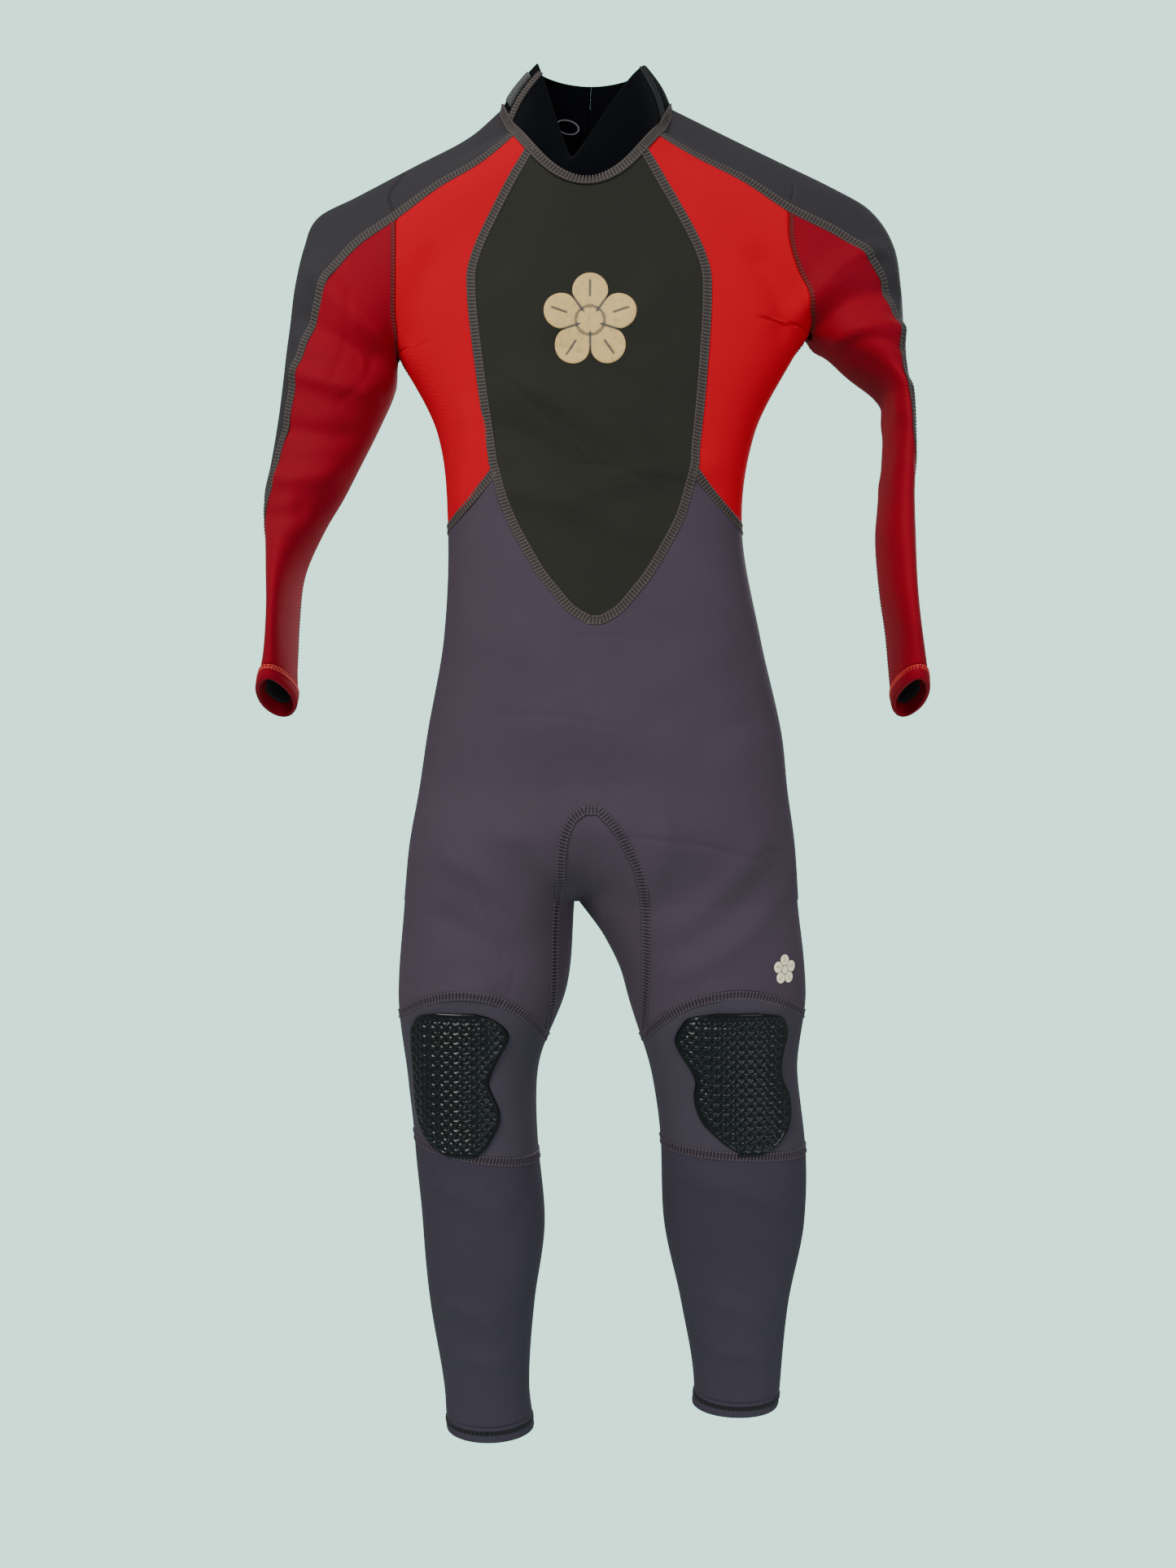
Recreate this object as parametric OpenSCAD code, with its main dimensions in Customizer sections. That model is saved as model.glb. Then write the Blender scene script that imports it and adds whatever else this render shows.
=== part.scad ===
// Full wetsuit for a child, hung by its shoulders: front at -Y, up at +Z,
// the wearer's left at +X, origin between the collar's sides where the hanger holds it.

/* [Levels below the hanger seat] */
// Bottom of the wearer's right armpit
armpit_drop = 198; // [170:1:235]
// How much higher the wearer's left armpit hangs
armpit_lift = 18; // [0:1:25]
// Waist, the narrowest level
waist_drop = 341; // [285:1:410]
// Hip, the widest level of the seat
hip_drop = 560; // [500:1:620]
// Crotch
crotch_drop = 652; // [640:1:780]
// Middle of the knee
knee_drop = 800; // [790:1:960]
// Fullest part of the calf
calf_drop = 920; // [900:1:1104]
// Narrowest part of the ankle
ankle_drop = 1058; // [1040:1:1270]
// Ankle level to the end of the wearer's right leg
right_leg_end = 35; // [20:1:60]
// Ankle level to the end of the wearer's left leg
left_leg_end = 15; // [10:1:60]
// Tip of the shoulder, where the sleeve turns down
shoulder_drop = 84; // [70:1:100]
// Elbow of the hanging sleeve
elbow_drop = 300; // [260:1:330]
// Middle of the cuff's lower edge
cuff_drop = 484; // [400:1:580]

/* [Body widths and depths] */
// Chest width at the armpits
chest_w = 331; // [276:1:397]
// Waist width
waist_w = 246; // [205:1:295]
// Hip width
hip_w = 308; // [257:1:370]
// Width over both thighs at the crotch
seat_w = 330; // [275:1:396]
// Depth of the chest, front to back
chest_d = 96; // [80:1:115]
// Depth of the waist
waist_d = 100; // [83:1:120]
// Depth of the hips
hip_d = 114; // [95:1:137]
// Thigh width of one leg
thigh_w = 145; // [121:1:160]
// Knee width
knee_w = 112; // [93:1:134]
// Calf width
calf_w = 110; // [92:1:132]
// Ankle width
ankle_w = 72; // [60:1:86]
// Depth of the thigh
thigh_d = 106; // [88:1:127]
// Depth of the knee
knee_d = 88; // [73:1:106]
// Depth of the calf
calf_d = 76; // [63:1:91]
// Depth of the ankle
ankle_d = 54; // [45:1:65]
// Distance from the centre line to the outside of the sleeve at the shoulder tip
shoulder_reach = 232; // [193:1:278]
// Distance from the centre line to the outside of the cuff
cuff_reach = 280; // [250:1:336]
// Depth of the upper sleeve
upper_sleeve_d = 72; // [60:1:86]
// Depth of the forearm, which hangs edge-on
forearm_d = 76; // [63:1:91]

/* [Panels and seams] */
// Thickness of the foamed rubber sheet
sheet_t = 3; // [1.5:0.5:4]
// Half of the gap between two panels at a seam
seam_gap = 0.5; // [0.3:0.1:1]
// Widest part of the chest panel
chest_panel_w = 189; // [158:1:227]
// How far the side seams lie behind the silhouette
side_seam_back = 16; // [10:1:22]
// Height of the cuff and ankle bands
band_h = 12; // [8:1:18]
// How far the cuff's front lip is above its back lip
cuff_tilt = 27; // [0:1:40]
// Thickness of the moulded knee pad
pad_t = 2.4; // [1:0.2:4]
// Height of the knee pad
pad_h = 118; // [98:1:140]
// Width of the knee pad at its top
pad_w = 86; // [60:1:96]

/* [Neck and collar] */
// Half width of the neck seam
neck_hw = 71; // [62:1:80]
// Half depth of the neck seam
neck_hd = 44; // [36:1:52]
// Drop of the front of the neck seam below the seat
neck_front_drop = 75; // [60:1:90]
// Drop of the back of the neck seam below the seat
neck_back_drop = 12; // [0:1:25]
// Height of the collar's top above the seat
collar_top = 50; // [40:1:65]
// Drop of the collar's front notch below the seat
collar_notch_drop = 52; // [30:1:60]
// Half width of the collar's top edge
collar_top_hw = 46; // [40:1:56]
// Thickness of the collar sheet
collar_t = 2; // [1.5:0.5:3]
// Height of the tab that closes the collar
tab_h = 34; // [24:1:44]
// Thickness of the collar tab
tab_t = 2.5; // [1.5:0.5:3]

/* [Back zip] */
// Length of the zip's chain of teeth
zip_len = 320; // [266:1:330]
// Width of the closed chain of teeth
chain_w = 7; // [5:0.5:10]
// Thickness of the teeth
tooth_t = 2.6; // [2:0.2:4]
// Width of one zip tape
tape_w = 16; // [12:1:22]
// Thickness of the zip tape
tape_t = 0.8; // [0.5:0.1:1.5]
// Width of the slider
slider_w = 12; // [9:0.5:16]
// Length of the slider
slider_l = 16; // [12:0.5:22]
// Length of the pull tab
pull_l = 34; // [24:1:44]
// Diameter of the pull tab's hinge pin
pin_d = 2; // [1.5:0.25:3]
// Diameter of the hole for a leash
leash_hole_d = 5; // [3:0.5:6]

/* [Hidden] */

L = 1;      // wearer's left, +X
R = -1;     // wearer's right, -X

// ---------- small helpers ----------
function mix(a, b, t) = a + (b - a) * t;
function unit(t) = min(1, max(0, t));
function ease(t) = let (s = unit(t)) s * s * (3 - 2 * s);
function arc_in(t) = sqrt(max(0, 1 - pow(1 - unit(t), 2)));
function asin1(t) = asin(min(1, max(-1, t)));

// Value of column col of a table at key, on a smooth curve through its rows.
// Keys fall from row to row, and the curve is flat past both ends.
function span(rows, key) =
    let (n = len(rows), hits = [for (i = [0 : n - 2]) if (key >= rows[i + 1][0]) i])
    len(hits) > 0 ? hits[0] : n - 2;
function slope(rows, i, col) =
    let (a = max(0, i - 1), b = min(len(rows) - 1, i + 1))
    (rows[b][col] - rows[a][col]) / (rows[b][0] - rows[a][0]);
function track(rows, key, col = 1) =
    let (i = span(rows, key), h = rows[i + 1][0] - rows[i][0],
         t = unit((key - rows[i][0]) / h), s = 1 - t)
    rows[i][col] * s * s * (1 + 2 * t) + rows[i + 1][col] * t * t * (1 + 2 * s)
    + h * t * s * (s * slope(rows, i, col) - t * slope(rows, i + 1, col));

// ---------- levels ----------
// Level k counts landmarks down the body: 0 seat, 1 armpit, 2 waist, 3 hip,
// 4 crotch, 5 knee, 6 calf, 7 ankle. Fractions lie between two landmarks.
marks = [0, armpit_drop, waist_drop, hip_drop, crotch_drop, knee_drop, calf_drop, ankle_drop];
function lv(k) = let (i = min(6, floor(k))) -mix(marks[i], marks[i + 1], k - i);
// Sleeve level k: 0 neck point, 1 shoulder tip, 2 armpit, 3 elbow, 4 cuff.
neck_z = 10;
arm_marks = [-neck_z, shoulder_drop, armpit_drop, elbow_drop, cuff_drop];
function al(k) = let (i = min(3, floor(k))) -mix(arm_marks[i], arm_marks[i + 1], k - i);

// ---------- the body's form ----------
// Torso: level, sway of the centre line, half width, half depth.
torso = [
    [neck_z, 3, chest_w * 0.6, chest_d * 0.47],
    [lv(0.68), 3, chest_w * 0.592, chest_d * 0.5],
    [lv(0.85), 3, chest_w * 0.56, chest_d * 0.5],
    [lv(1), 3, chest_w / 2, chest_d / 2],
    [lv(1.45), 3, mix(chest_w, waist_w, 0.77) / 2, mix(chest_d, waist_d, 0.5) / 2],
    [lv(2), 2, waist_w / 2, waist_d / 2],
    [lv(2.42), 8, mix(waist_w, hip_w, 0.3) / 2, mix(waist_d, hip_d, 0.5) / 2],
    [lv(2.78), 10, mix(waist_w, hip_w, 0.8) / 2, hip_d / 2],
    [lv(3), 9, hip_w / 2, hip_d / 2],
    [lv(3.5), 8, mix(hip_w, seat_w, 0.65) / 2, hip_d / 2],
    [lv(4), 7.5, seat_w / 2, hip_d / 2]];
section_power = 2.3;    // roundness of the torso's section: 2 is an ellipse
blend_power = 6;        // how tightly sleeves, legs and torso run into each other
crotch_x = -14;         // the crotch hangs a little to the wearer's right
neck_x = -5;            // and so does the neck

function body_edge(side, z) = track(torso, z, 1) + side * track(torso, z, 2);

// Sleeves: level, distance out to the outer side, distance out to the inner side, half depth.
// Above the armpit the inner side runs on inside the torso.
tip = shoulder_reach;
left_pit = al(2) + armpit_lift;
sleeve_rows_right = [
    [neck_z, neck_hw - neck_x, -60, 12],
    [al(0.28), mix(neck_hw, tip, 0.22), -40, 18],
    [al(0.56), mix(neck_hw, tip, 0.52), -22, 25],
    [al(0.85), mix(neck_hw, tip, 0.83), 8, upper_sleeve_d * 0.43],
    [al(1), tip - 1, 35, upper_sleeve_d * 0.46],
    [al(1.19), tip + 9, 70, upper_sleeve_d * 0.48],
    [al(1.5), tip + 17, 122, upper_sleeve_d * 0.5],
    [al(1.8), tip + 21, 153, upper_sleeve_d * 0.51],
    [al(2), tip + 24, -body_edge(R, al(2)), upper_sleeve_d / 2],
    [al(2.25), tip + 27, 165, upper_sleeve_d * 0.48],
    [al(2.55), tip + 31, 178, upper_sleeve_d * 0.45],
    [al(2.9), tip + 37, 196, upper_sleeve_d * 0.43],
    [al(3.08), cuff_reach - 6, 209, forearm_d * 0.41],
    [al(3.22), cuff_reach - 7, 225, forearm_d * 0.43],
    [al(3.42), cuff_reach - 9, 243, forearm_d * 0.47],
    [al(3.62), cuff_reach - 10, 249, forearm_d / 2],
    [al(3.82), cuff_reach - 7, 250, forearm_d * 0.47],
    [al(3.96), cuff_reach, 249, forearm_d * 0.42],
    [al(4) - 20, cuff_reach + 3, 251, forearm_d * 0.38]];
sleeve_rows_left = [
    [neck_z, neck_hw + neck_x, -60, 12],
    [al(0.28), mix(neck_hw, tip, 0.29), -40, 18],
    [al(0.5), mix(neck_hw, tip, 0.54), -22, 25],
    [al(0.76), mix(neck_hw, tip, 0.84), 8, upper_sleeve_d * 0.43],
    [al(0.94), tip + 2, 40, upper_sleeve_d * 0.46],
    [al(1.19), tip + 20, 85, upper_sleeve_d * 0.48],
    [al(1.5), tip + 26, 138, upper_sleeve_d * 0.5],
    [left_pit, tip + 28, body_edge(L, left_pit), upper_sleeve_d * 0.51],
    [al(1.97), tip + 29, 198, upper_sleeve_d * 0.51],
    [al(2.1), tip + 30, 214, upper_sleeve_d * 0.5],
    [al(2.24), tip + 31, 237, upper_sleeve_d * 0.49],
    [al(2.36), tip + 33, 246, upper_sleeve_d * 0.48],
    [al(2.8), tip + 35, 246, forearm_d * 0.47],
    [al(3.11), cuff_reach - 14, 242, forearm_d * 0.49],
    [al(3.26), cuff_reach - 13, 240, forearm_d / 2],
    [al(3.5), cuff_reach - 11, 244, forearm_d / 2],
    [al(3.7), cuff_reach - 8, 250, forearm_d * 0.48],
    [al(3.95), cuff_reach, 252, forearm_d * 0.42],
    [al(4) - 20, cuff_reach + 3, 255, forearm_d * 0.38]];
function sleeve_rows(side) = side == L ? sleeve_rows_left : sleeve_rows_right;
function sleeve_out(side, z) = track(sleeve_rows(side), z, 1);
function sleeve_in(side, z) = track(sleeve_rows(side), z, 2);
function sleeve_mid(side, z) = (sleeve_out(side, z) + sleeve_in(side, z)) / 2;
function sleeve_half(side, z) = (sleeve_out(side, z) - sleeve_in(side, z)) / 2;

// Legs: level, distance out to the leg's middle, how far it is spread by the way it hangs.
leg_mid_right = [
    [lv(4), 86, 0.98], [lv(4.45), 91, 0.97], [lv(4.9), 100, 0.96], [lv(5.45), 97, 0.92],
    [lv(6), 91, 0.93], [lv(6.5), 92, 1], [lv(7), 88.5, 0.99], [lv(7) - 40, 85, 1.03]];
leg_mid_left = [
    [lv(4), 79.5, 1.27], [lv(4.22), 93, 1.12], [lv(4.45), 102, 1.04], [lv(4.9), 109, 1.07],
    [lv(5.45), 117.5, 1.08], [lv(6), 118.5, 1.07], [lv(6.5), 119, 1.03], [lv(7), 121, 1],
    [lv(7) - 30, 117, 1.06]];
leg_size = [
    [lv(4), thigh_w, thigh_d], [lv(4.5), thigh_w, thigh_d * 0.97],
    [lv(4.9), mix(thigh_w, knee_w, 0.85), mix(thigh_d, knee_d, 0.8)],
    [lv(5.15), knee_w, knee_d], [lv(6), calf_w, calf_d],
    [lv(6.5), mix(calf_w, ankle_w, 0.6), mix(calf_d, ankle_d, 0.55)],
    [lv(7), ankle_w, ankle_d], [lv(7) - 40, ankle_w, ankle_d]];
function leg_row(side, z) =
    let (rows = side == L ? leg_mid_left : leg_mid_right, k = track(rows, z, 2))
    [track(rows, z, 1), k * track(leg_size, z, 1) / 2, track(leg_size, z, 2) / 2 / sqrt(k)];
// Above the crotch the leg's inner side runs on across the body, so that the legs merge.
leg_rise = (crotch_drop - hip_drop) * 1.1;
function leg_out(side, z) = z > lv(4) ? side * body_edge(side, z) : let (g = leg_row(side, z)) g[0] + g[1];
function leg_in(side, z) =
    z > lv(4) ? side * crotch_x - 130 * pow(unit((z - lv(4)) / leg_rise), 1.4)
    : let (g = leg_row(side, z)) g[0] - g[1];
function leg_mid(side, z) = (leg_out(side, z) + leg_in(side, z)) / 2;
function leg_half(side, z) = (leg_out(side, z) - leg_in(side, z)) / 2;
function leg_depth(side, z) =
    z > lv(4) ? mix(leg_row(side, lv(4))[2], hip_d / 2, unit((z - lv(4)) / leg_rise)) : leg_row(side, z)[2];

// Half depth of each part of the body at (x, z), 0 outside it.
function round_h(t, b) = t * t >= 1 ? 0 : b * sqrt(1 - t * t);
function shoulder_line(x) = neck_z + 8 - 0.52 * abs(x - neck_x);
function torso_h(x, z) =
    z <= lv(4) ? 0 :
    let (t = abs(x - track(torso, z, 1)) / track(torso, z, 2),
         top = arc_in((shoulder_line(x) - z) / 55),
         foot = arc_in((z - lv(4)) / (0.75 * (crotch_drop - hip_drop))))
    t >= 1 ? 0 : track(torso, z, 3) * pow(1 - pow(t, section_power), 1 / section_power) * top * foot;
function neck_h(x, z) =
    z < -1.7 * neck_front_drop ? 0 :
    round_h((x - neck_x) / neck_hw, neck_hd) * arc_in((z + 1.7 * neck_front_drop) / 90);
function sleeve_h(side, x, z) =
    z < al(4) - 40 || side * x < 0 ? 0 :
    round_h((side * x - sleeve_mid(side, z)) / sleeve_half(side, z), track(sleeve_rows(side), z, 3));
function leg_h(side, x, z) =
    z > lv(4) + leg_rise ? 0 :
    round_h((side * x - leg_mid(side, z)) / leg_half(side, z), leg_depth(side, z))
    * arc_in((lv(4) + leg_rise - z) / (0.5 * leg_rise));
function p6(h) = pow(h, blend_power);
function half_depth(x, z) =
    let (sum = (z > lv(4) ? p6(torso_h(x, z)) : 0) + (z > -150 ? p6(neck_h(x, z)) : 0)
        + (z > al(4) - 40 ? p6(sleeve_h(x > 0 ? L : R, x, z)) : 0)
        + (z < lv(3) + 30 ? p6(leg_h(L, x, z)) + p6(leg_h(R, x, z)) : 0))
    sum <= 0 ? 0 : pow(sum, 1 / blend_power);

// A point of the body's skin: face is -1 on the front and 1 on the back.
function skin(x, z, face) = [x, face * half_depth(x, z), z];
// Outward direction there, from the gradient of half_depth squared less y squared.
function sq(x, z) = pow(half_depth(x, z), 2);
function outward(p) =
    let (e = 0.6, gx = (sq(p[0] + e, p[2]) - sq(p[0] - e, p[2])) / (4 * e),
         gz = (sq(p[0], p[2] + e) - sq(p[0], p[2] - e)) / (4 * e), v = [-gx, p[1], -gz], n = norm(v))
    n < 0.001 ? [0, 0, 1] : v / n;

// ---------- a sheet of rubber from a grid of points ----------
// grid holds rows of points on the skin. cells[i][j] is false where there is no sheet.
// The sheet lies between the offsets inner and outer along the outward direction.
module sheet(grid, cells, outer = 0, inner = -sheet_t, closed = false, dirs_given = undef) {
    nr = len(grid);
    nc = len(grid[0]);
    last = closed ? nc : nc - 1;
    dirs = is_undef(dirs_given) ? [for (row = grid) [for (p = row) outward(p)]] : dirs_given;
    pts = concat(
        [for (i = [0 : nr - 1]) for (j = [0 : nc - 1]) grid[i][j] + outer * dirs[i][j]],
        [for (i = [0 : nr - 1]) for (j = [0 : nc - 1]) grid[i][j] + inner * dirs[i][j]]);
    polyhedron(pts, sheet_faces(nr, nc, last, cells, nr * nc), convexity = 6);
}
function at(i, j, nc) = i * nc + j % nc;
function has(cells, i, j, nr, last) =
    i >= 0 && i < nr - 1 && (j >= 0 && j < last) && cells[i][j];
function sheet_faces(nr, nc, last, cells, off) =
    let (ring = last == nc)
    [for (i = [0 : nr - 2]) for (j = [0 : last - 1]) if (cells[i][j])
        let (a = at(i, j, nc), b = at(i, j + 1, nc), c = at(i + 1, j + 1, nc), d = at(i + 1, j, nc))
        each concat(
            [[a, b, c], [a, c, d], [off + a, off + c, off + b], [off + a, off + d, off + c]],
            has(cells, i - 1, j, nr, last) ? [] : [[a, off + b, b], [a, off + a, off + b]],
            has(cells, i + 1, j, nr, last) ? [] : [[d, c, off + c], [d, off + c, off + d]],
            ring || has(cells, i, j - 1, nr, last) ? [] : [[a, d, off + d], [a, off + d, off + a]],
            ring || has(cells, i, j + 1, nr, last) ? [] : [[b, off + c, c], [b, off + b, off + c]])];
function all_cells(nr, nc) = [for (i = [0 : nr - 1]) [for (j = [0 : nc - 1]) true]];
function flip(grid) = [for (row = grid) [for (j = [len(row) - 1 : -1 : 0]) row[j]]];

// Draws a grid that runs right and down as seen from outside on the wearer's left;
// the right side's grid runs the other way, so it is turned round first.
module panel(side, grid, cells, outer = 0, inner = -sheet_t) {
    g = side == L ? grid : flip(grid);
    c = side == L ? cells : [for (row = cells) [for (j = [len(row) - 2 : -1 : 0]) row[j]]];
    sheet(trimmed(g, c), c, outer, inner);
}
// Pulls a sheet's edges back from its seams by seam_gap.
function toward(p, q) = let (d = norm(q - p)) d < 2 * seam_gap ? [0, 0, 0] : (q - p) * seam_gap / d;
function trimmed(g, cells, closed = false) =
    let (nr = len(g), nc = len(g[0]), last = closed ? nc : nc - 1)
    [for (i = [0 : nr - 1]) [for (j = [0 : nc - 1])
        let (up_left = has(cells, i - 1, j - 1, nr, last), up_right = has(cells, i - 1, j, nr, last),
             low_left = has(cells, i, j - 1, nr, last), low_right = has(cells, i, j, nr, last),
             left = up_left || low_left, right = up_right || low_right,
             up = up_left || up_right, low = low_left || low_right)
        g[i][j]
        + (closed || left == right ? [0, 0, 0] : toward(g[i][j], g[i][left ? j - 1 : j + 1]))
        + (up == low ? [0, 0, 0] : toward(g[i][j], g[up ? i - 1 : i + 1][j]))]];

// ---------- seams ----------
// Neck seam at angle t: 0 at the front, 90 at the wearer's left, 180 at the back.
function neck_seam_z(t) =
    let (c = cos(t)) neck_z - (neck_z + (c > 0 ? neck_front_drop : neck_back_drop)) * pow(abs(c), 1.6);
function neck_seam(t) = [neck_x + neck_hw * sin(t), neck_seam_z(t)];
function neck_seam_at(x) = neck_seam_z(asin1((x - neck_x) / neck_hw));
chest_corner = 39;      // where the chest panel's side seams meet the neck seam
strip_corner = 54;      // where the shoulder strips' front seams meet it

// Side seam of the chest panel: step, share of the panel's half width, level.
chest_rows = [
    [0, neck_hw * sin(chest_corner) / (chest_panel_w / 2), neck_seam_z(chest_corner)],
    [-1, 0.74, lv(0.455)], [-2, 0.96, lv(0.67)], [-3, 1, lv(0.83)], [-4, 0.934, lv(1.27)],
    [-5, 0.87, lv(1.61)], [-6, 0.84, lv(1.735)], [-7, 0.72, lv(2)], [-8, 0.49, lv(2.187)],
    [-9, 0.35, lv(2.27)], [-10, 0.2, lv(2.345)], [-11, 0.05, lv(2.385)]];
junction = 6;           // step at which the hip seam leaves the chest panel
v_steps = 7;            // corners of the seams round the waist: on the V,
hip_steps = 5;          // on each hip
wrap_steps = 2;         // and behind the silhouette
function chest_mid(z) = mix(neck_x, 2, unit((z + neck_front_drop) / (neck_front_drop - waist_drop)));
function chest_seam(side, step) =
    let (z = track(chest_rows, -step, 2))
    [chest_mid(z) + side * track(chest_rows, -step, 1) * chest_panel_w / 2, z];
// Step of the chest seam at which it passes the level z.
function step_at(z, a = 0, b = 11, n = 18) =
    n == 0 ? (a + b) / 2 : let (m = (a + b) / 2)
    track(chest_rows, -m, 2) > z ? step_at(z, m, b, n - 1) : step_at(z, a, m, n - 1);

// Armhole, mirrored on the back: it runs from the strip's seam down to the armpit.
function armpit_z(side) = -armpit_drop + (side == L ? armpit_lift : 0);
function hole_top(side) = side == L ? al(1.05) : al(1.11);
hole_x = 160;
hole_steps = 9;         // every panel that meets the armhole has its corners at these steps
function armpit_x(side) = side * body_edge(side, armpit_z(side));
function armhole_x(side, z) =
    let (a = hole_top(side), b = armpit_z(side), k = armpit_x(side))
    track([[a, hole_x], [mix(a, b, 0.3), hole_x], [mix(a, b, 0.55), mix(hole_x, k, 0.35)],
           [mix(a, b, 0.75), mix(hole_x, k, 0.85)], [mix(a, b, 0.9), k - 1], [b, k]], z);

// Strip over the shoulder and down the outer sleeve: distance out to its front seam.
function strip_rows(side) =
    let (z0 = neck_seam_z(strip_corner), x0 = side * neck_x + neck_hw * sin(strip_corner))
    side == L
    ? [[z0, x0], [al(0.6), 85], [al(0.82), 124], [hole_top(L), hole_x], [al(1.24), 204],
       [al(1.42), 227], [al(1.54), tip + 7], [al(1.7), tip + 12], [al(2.05), tip + 21],
       [al(2.5), tip + 28], [al(2.8), tip + 30]]
    : [[z0, x0], [al(0.67), 92], [al(0.86), 124], [hole_top(R), hole_x], [al(1.28), 190],
       [al(1.48), tip - 21], [al(1.68), tip - 11], [al(1.9), tip], [al(2.15), tip + 8],
       [al(2.45), tip + 16], [al(2.83), tip + 26], [al(3.1), tip + 33]];
// Angle round the sleeve of the strip's seams: 0 faces forward, 90 outward, 180 back.
function strip_front(side, z) =
    let (x = track(strip_rows(side), z), turn = side == L ? al(2.66) : al(3.02),
         near = asin1((x - sleeve_mid(side, z)) / sleeve_half(side, z)))
    mix(near, 102, ease((turn - z) / 70));
function strip_back(side, z) =
    let (z0 = neck_seam_z(180 - strip_corner), h = hole_top(side), x0 = strip_rows(side)[0][1],
         x = z > h ? mix(x0, hole_x, unit((z0 - z) / (z0 - h))) : track(strip_rows(side), z),
         near = 180 - asin1((x - sleeve_mid(side, z)) / sleeve_half(side, z)))
    mix(near, 205, ease((al(2.2) - z) / 120));
cuff_top = al(4) + band_h;
function sleeve_tilt(z) = cuff_tilt / 2 * unit((al(3.4) - z) / (al(3.4) - cuff_top));
function sleeve_pt(side, a, z) =
    let (zt = z + cos(a) * sleeve_tilt(z))
    skin(side * (sleeve_mid(side, zt) + sleeve_half(side, zt) * sin(a)), zt, cos(a) >= 0 ? -1 : 1);
// Strip point: u runs from the front seam, -1, to the back seam, 1;
// v runs from the neck seam, -1, over the armhole, 0, to the cuff, 1.
function strip_pt(side, u, v) =
    let (h = hole_top(side), ridge = side == L ? al(0.5) : al(0.57),
         s = v < 0 ? 1 + v : v,
         zo = v < 0 ? mix(neck_z, ridge, s) : mix(ridge, cuff_top, pow(s, 0.9)),
         corner = u < 0 ? strip_corner : 180 - strip_corner,
         ze = v < 0 ? mix(neck_seam_z(corner), h, s) : mix(h, cuff_top, s),
         z = mix(zo, ze, 1 - cos(90 * abs(u))),
         a = mix(strip_front(side, z), strip_back(side, z), (u + 1) / 2),
         p = sleeve_pt(side, a, z), k = pow(unit(-2 * v - 1), 2))
    k == 0 ? p :
    let (ring = neck_seam(90 + (90 - strip_corner) * u), x0 = side == L ? ring[0] : 2 * neck_x - ring[0],
         q = strip_base(side, u), x = p[0] + k * (x0 - q[0]), z2 = p[2] + k * (ring[1] - q[2]))
    skin(x, z2, u < 0 ? -1 : 1);
function strip_base(side, u) =
    let (ze = neck_seam_z(u < 0 ? strip_corner : 180 - strip_corner),
         z = mix(neck_z, ze, 1 - cos(90 * abs(u))),
         a = mix(strip_front(side, z), strip_back(side, z), (u + 1) / 2))
    sleeve_pt(side, a, z);

// Side seams: how far they lie behind the silhouette, from nothing at the armpit.
function seam_back(side, z) = side_seam_back * (0.12 + 0.88 * ease((armpit_z(side) - z) / 80));

// Seam round the waist: w runs from the V's tip, 0, past the junction with the hip seam, 0.5,
// and the silhouette, 0.8, to the side seam, 1.
function waist_seam(side, w) =
    let (j = chest_seam(side, junction), ze = lv(2.01))
    w <= 0.5 ? let (p = chest_seam(side, mix(11, junction, w / 0.5))) [p[0], p[1], -1] :
    w <= 0.8 ? let (s = (w - 0.5) / 0.3, z = mix(j[1], ze, 1 - pow(unit(1 - s), 2.5)),
                    c = track(torso, z, 1), hw = track(torso, z, 2),
                    a = mix(asin1(abs(j[0] - c) / hw), 90, s))
               [c + side * hw * sin(a), z, -1] :
    [body_edge(side, ze) - side * seam_back(side, ze) * (1 - cos(90 * (w - 0.8) / 0.2)), ze, 1];

// Gusset between the legs: distance out to its seams, the same on the front and the back.
gusset_top = lv(3.17);
gusset_rows_right = [
    [gusset_top, 6], [gusset_top - 8, 16], [gusset_top - 26, 23.5], [gusset_top - 54, 26.7],
    [lv(4.05), 29.4], [lv(4.5), 32], [lv(4.72), 37]];
gusset_rows_left = [
    [gusset_top, 4.5], [gusset_top - 12, 16], [gusset_top - 31, 27.7], [gusset_top - 49, 36.8],
    [gusset_top - 68, 41.5], [lv(4.2), 43.3], [lv(4.7), 42.5]];
function gusset_x(side, z) =
    max(track(side == L ? gusset_rows_left : gusset_rows_right, z), z > lv(4) ? 0 : leg_in(side, z) + 4);

// Knee seams: t runs from the inner side of the leg, -1, to the outer side, 1.
function knee_top(side, t) = lv(4.48) - 33 * pow(t - 0.15, 2);
function knee_low(side, t) = lv(5.46) + (side == L ? -3 : 9) * t;
// Level of a knee seam straight below a place that lies l of the way from the gusset to the
// outer edge, found by repeated trial.
function knee_level(side, l, z, n = 4) =
    n == 0 ? z : let (x = mix(gusset_x(side, z), leg_out(side, z), l))
    knee_level(side, l, knee_top(side, (x - leg_mid(side, z)) / leg_half(side, z)), n - 1);
gusset_steps = 9;       // corners of the gusset's seams, shared by the panels beside it
function leg_pt(side, a, z) =
    skin(side * (leg_mid(side, z) + leg_half(side, z) * sin(a)), z, cos(a) >= 0 ? -1 : 1);

// ---------- panels ----------
module chest_panel() {
    nr = 22;
    nc = 11;
    function row(i) =
        let (step = 11 * i / (nr - 1), a = chest_seam(R, step), b = chest_seam(L, step),
             k = pow(unit(1 - step / 2), 2))
        [for (j = [0 : nc - 1])
            let (q = j / (nc - 1), rim = neck_x + neck_hw * sin(chest_corner) * (2 * q - 1))
            skin(mix(a[0], b[0], q), a[1] + k * (neck_seam_at(rim) - neck_seam_z(chest_corner)), -1)];
    color([0.18, 0.18, 0.17]) panel(L, [for (i = [0 : nr - 1]) row(i)], all_cells(nr, nc));
}

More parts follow.
